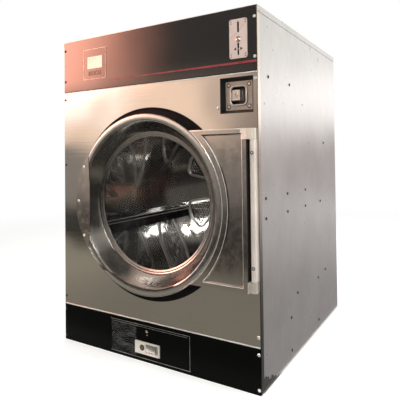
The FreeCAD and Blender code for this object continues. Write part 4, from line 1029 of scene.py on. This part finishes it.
# Smooth skin of ring and bowl: a crowned lip with a rolled edge, then a dish curving in to the window
bowlSet = {"edge": 0.3579, "face": -0.036, "crown": 0.0018, "lip": 0.3338, "floor": 0.2895, "base": 0.0205,
           "over": 0.00045, "steps": 30, "sheet": 0.001, "curve": 0.3, "roll": 0.0016, "rollAt": 0.356,
           "rollUp": 0.0008, "bend": 7.9, "ridge": 0.3465, "brim": 0.002, "skin": (0.0001, 0.0004),
           "round": ((0, 0.0002), (0.0001, -0.0005), (0.0007, -0.0008)), "sharp": 50,
           "lipSteps": 10, "rollStep": 30}
retainerSet = {"beads": ((0.2891, 0.2808), (0.2806, 0.2722)), "cone": 18, "swell": 0.0007, "edge": 0.2705,
               "back": 0.026, "nose": 0.2782, "glass": 0.0297, "steps": 8, "drop": 0.0006, "turn": 0.001,
               "full": 0.6}


def dishPoint(share):
    # nearly a cone, a little flatter at the lip and at the floor
    rise = share * (1 - bowlSet["curve"]) + share * share * (3 - 2 * share) * bowlSet["curve"]
    top = bowlSet["face"] - bowlSet["over"]
    lip = bowlSet["lip"]
    return (lip + (bowlSet["floor"] - lip) * share, top + (bowlSet["base"] - top) * rise)


def addDoorRing(name, line, coat):
    # line: radius, and depth behind the front of the cabinet
    profile = [(radius, frontY + depth) for radius, depth in line]
    return addTurned(name, profile, [(doorX, doorZ)], flats["door"], coat, "door", "door_steel",
                     bowlSet["sharp"])


def addBowl():
    face = bowlSet["face"]
    edge = bowlSet["edge"]
    brim = edge - bowlSet["brim"]
    lip = []
    for step in range(bowlSet["lipSteps"]):
        radius = brim - (brim - bowlSet["lip"]) * step / bowlSet["lipSteps"]
        lip.append((radius, face - bowlSet["crown"] + bowlSet["bend"] * (radius - bowlSet["ridge"]) ** 2))
    ledge = [(edge - inset, face + back) for inset, back in bowlSet["round"]] + lip
    dish = [dishPoint(step / bowlSet["steps"]) for step in range(bowlSet["steps"] + 1)]
    behind = [(radius, depth + bowlSet["sheet"]) for radius, depth in dish[::-1]]
    addDoorRing("bowlSkin", ledge + dish + behind + ledge[:1], "bowlSteel")
    proud, back = bowlSet["skin"]
    rim = [(radius, depth - proud) for radius, depth in lip]
    rim += [(radius, depth + back) for radius, depth in lip[::-1]]
    addDoorRing("lipSkin", rim + rim[:1], "lipSteel")
    turns = [radians(turn) for turn in range(0, 361, bowlSet["rollStep"])]
    addDoorRing("lipRoll", [(bowlSet["rollAt"] + bowlSet["roll"] * cos(turn),
                             face - bowlSet["rollUp"] + bowlSet["roll"] * sin(turn)) for turn in turns],
                "platedLock")
    fall = tan(radians(retainerSet["cone"]))
    first = retainerSet["beads"][0][0]
    line = [(first, retainerSet["back"])]
    for start, stop in retainerSet["beads"]:
        for step in range(retainerSet["steps"] + 1):
            share = step / retainerSet["steps"]
            radius = start + (stop - start) * share
            swell = retainerSet["swell"] * sin(pi * share) ** retainerSet["full"]
            line.append((radius, bowlSet["base"] + (first - radius) * fall + retainerSet["drop"] - swell))
    rim, nose, glass = [retainerSet[key] for key in ("edge", "nose", "glass")]
    line += [(rim, line[-1][1] + retainerSet["turn"]), (rim, glass), (nose, glass), (nose, line[0][1]),
             line[0]]
    ring = addDoorRing("retainerRing", line, "retainerSteel")
    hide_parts("glass_retainer")


# Raised rims of the pressed petals on the back of the drum
petalSet = {"tip": 0.08, "wide": ((0.2, 0.054), (0.322, 0.098)), "end": 0.345, "corner": 0.044,
            "rim": 0.013, "rise": 0.01, "edge": 0.0045}


def addPetals():
    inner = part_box("drum_back")[0][1]
    half = [(petalSet["tip"], 0), *petalSet["wide"], (petalSet["end"], 0)]
    outline = half + [(out, -side) for out, side in reversed(petalSet["wide"])]
    whole = bmesh.new()
    for number in range(drumBackLook["petals"]):
        bm = bmesh.new()
        made = [bm.verts.new((side, inner + sunk, -out)) for out, side in outline]
        bm.faces.new(made)
        soften(bm, [made[0], made[2], made[4]], petalSet["corner"], 6, "VERTICES")
        leaveBorder(bm, petalSet["rim"])
        crest = newVerts(bmesh.ops.extrude_face_region(bm, geom=bm.faces[:]))
        moveVerts(bm, crest, (0, -petalSet["rise"], 0))
        brink = [e for e in bm.edges if e.verts[0] in crest and e.verts[1] in crest
                 and len({round(f.normal.y, 1) for f in e.link_faces}) > 1]
        soften(bm, brink, petalSet["edge"], 3, clamp=True)
        turnVerts(bm, bm.verts, 360 * number / drumBackLook["petals"], "Y")
        moveVerts(bm, bm.verts, (doorX, 0, doorZ))
        petal = bpy.data.meshes.new("petal")
        bm.to_mesh(petal)
        bm.free()
        whole.from_mesh(petal)
        bpy.data.meshes.remove(petal)
    addPiece("drumPetals", whole, "petalSatin", "drum", "drum_steel")


# Bright lines along both corners of each lifter's crest
lifterSet = {"count": 3, "angle": 200, "crest": 0.3245, "half": 0.0072, "line": 0.0021, "short": 0.0006}


def addLifterLines():
    low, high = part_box("drum_lifters")
    short = lifterSet["short"]
    bm = bmesh.new()
    for number in range(lifterSet["count"]):
        angle = radians(lifterSet["angle"] + 360 / lifterSet["count"] * number)
        out = spoke(angle)
        aside = Vector((-out.z, 0, out.x))
        for side in (-1, 1):
            spot = Vector((doorX, low[1] + short, doorZ)) + out * lifterSet["crest"]
            cap = roundFace(bm, spot + aside * side * lifterSet["half"], out, aside, lifterSet["line"])
            far = newVerts(bmesh.ops.extrude_face_region(bm, geom=[cap]))
            moveVerts(bm, far, (0, high[1] - low[1] - 2 * short, 0))
    addPiece("lifterLines", bm, "paleTrimAndPaintedHighlight", "drum", "drum_steel")


# Pale lines along the lint drawer's edges, its plated stud and the clear film left on its left end
drawerSet = {"face": 0.001, "line": 0.0011, "proud": 0.0004, "edge": 0.0001, "innerDrop": 0.0075,
             "innerShort": 0.012, "innerThin": 0.7, "studAside": -0.006, "studUp": 0.11,
             "studShape": ((0, 1), (0.5, 0.95), (0.85, 0.65), (1, 0.25)),
             "stud": (0.0055, 0.0045), "drop": (0.0028, 0.0027), "dropFrom": (0.001, -0.0135),
             "film": (0.004, 0.138), "filmInset": 0.004, "filmRise": (0.0004, 0.0001), "filmEdge": 0.00008}


def addDrawerTrim():
    (left, _, foot), (right, _, top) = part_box("drawer_front")
    face = frontY - drawerSet["face"]
    line = drawerSet["line"]
    inner = top - drawerSet["innerDrop"]
    runs = (((left, top - line), (right, top)),
            ((left + drawerSet["innerShort"], inner - line * drawerSet["innerThin"]),
             (right - drawerSet["innerShort"], inner)),
            ((right - line, foot), (right, top - line)), ((left, foot), (right - line, foot + line)))
    addSlabs("drawerEdges", runs, face - drawerSet["proud"], face + sunk, drawerSet["edge"], 1, "wornEdge",
             "lint_drawer")
    bm = bmesh.new()
    x, z = centreOf("drawer_front")[0] + drawerSet["studAside"], foot + drawerSet["studUp"]
    aside, down = drawerSet["dropFrom"]
    for (radius, tall), spot in ((drawerSet["stud"], (x, z)), (drawerSet["drop"], (x + aside, z + down))):
        turned(bm, dome(drawerSet["studShape"], radius, tall, face, sunk), spot, flats["head"])
    addPiece("drawerStud", bm, "platedLock", "lint_drawer", "fastener")
    inset = drawerSet["filmInset"]
    start, end = drawerSet["film"]
    proud, back = drawerSet["filmRise"]
    film = ((left + start, foot + inset), (left + end, top - inset))
    addSlabs("drawerFilm", [film], face - proud, face - back, drawerSet["filmEdge"], 1, "clearFilm",
             "lint_drawer")


# Drawer latch: raised border, dark ring round the lock, and a lever with a sloped face and a rolled lip
latchSet = {"width": 0.0034, "rise": 0.0012, "corner": 0.003, "steps": 4, "edge": 0.0005, "ring": 0.0118,
            "ringRise": 0.001, "ringRound": 0.0006, "ringGap": 0.0001, "slope": 0.7, "lip": 0.003,
            "lipShort": 0.002, "leverEdge": 0.0007}


def addLatchTrim():
    low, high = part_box("latch_bezel")
    face = low[1]
    addFrame("latchBorder", low, high, latchSet, "latchSilver", "lint_drawer", "coin_silver")
    lockLow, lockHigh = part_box("latch_lock")
    inner = (lockHigh[0] - lockLow[0]) / 2 + latchSet["ringGap"]
    top = face - latchSet["ringRise"]
    ring, soft = latchSet["ring"], latchSet["ringRound"]
    start = (inner, face + thinSunk)
    line = [start, (inner, top), (ring - soft, top), (ring, top + soft), (ring, face + thinSunk), start]
    addTurned("latchLockRing", line, [centreOf("latch_lock")], flats["cap"], "seamBlackAndPaintedShadow",
              "lint_drawer")
    low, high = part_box("latch_paddle")
    lip = latchSet["lip"]
    bm = bmesh.new()
    made = slab(bm, low, high)
    middle = [(a + b) / 2 for a, b in zip(low, high)]
    upper = [v for v in made if v.co.z > middle[2] and v.co.y < middle[1]]
    moveVerts(bm, upper, (0, (high[1] - low[1]) * latchSet["slope"], 0))
    soften(bm, bm.edges[:], latchSet["leverEdge"], 3)
    roll = cone(bm, flats["head"], lip, lip, high[0] - low[0] - latchSet["lipShort"])
    turnVerts(bm, roll, 90, "Y")
    moveVerts(bm, roll, (middle[0], low[1] + lip / 2, low[2] + lip))
    lever = addPiece("latchLever", bm, "platedLock", "latch_paddle", "coin_silver")
    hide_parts("latch_paddle")


for build in (addStripe, addOutline, addKeys, addReject, addCoinTrim, addVaultTrim, addHub, addHem,
              addSeam, addSeal, addBeads, addHingeSeats, addBowl, addPetals, addLifterLines, addDrawerTrim,
              addLatchTrim):
    build()
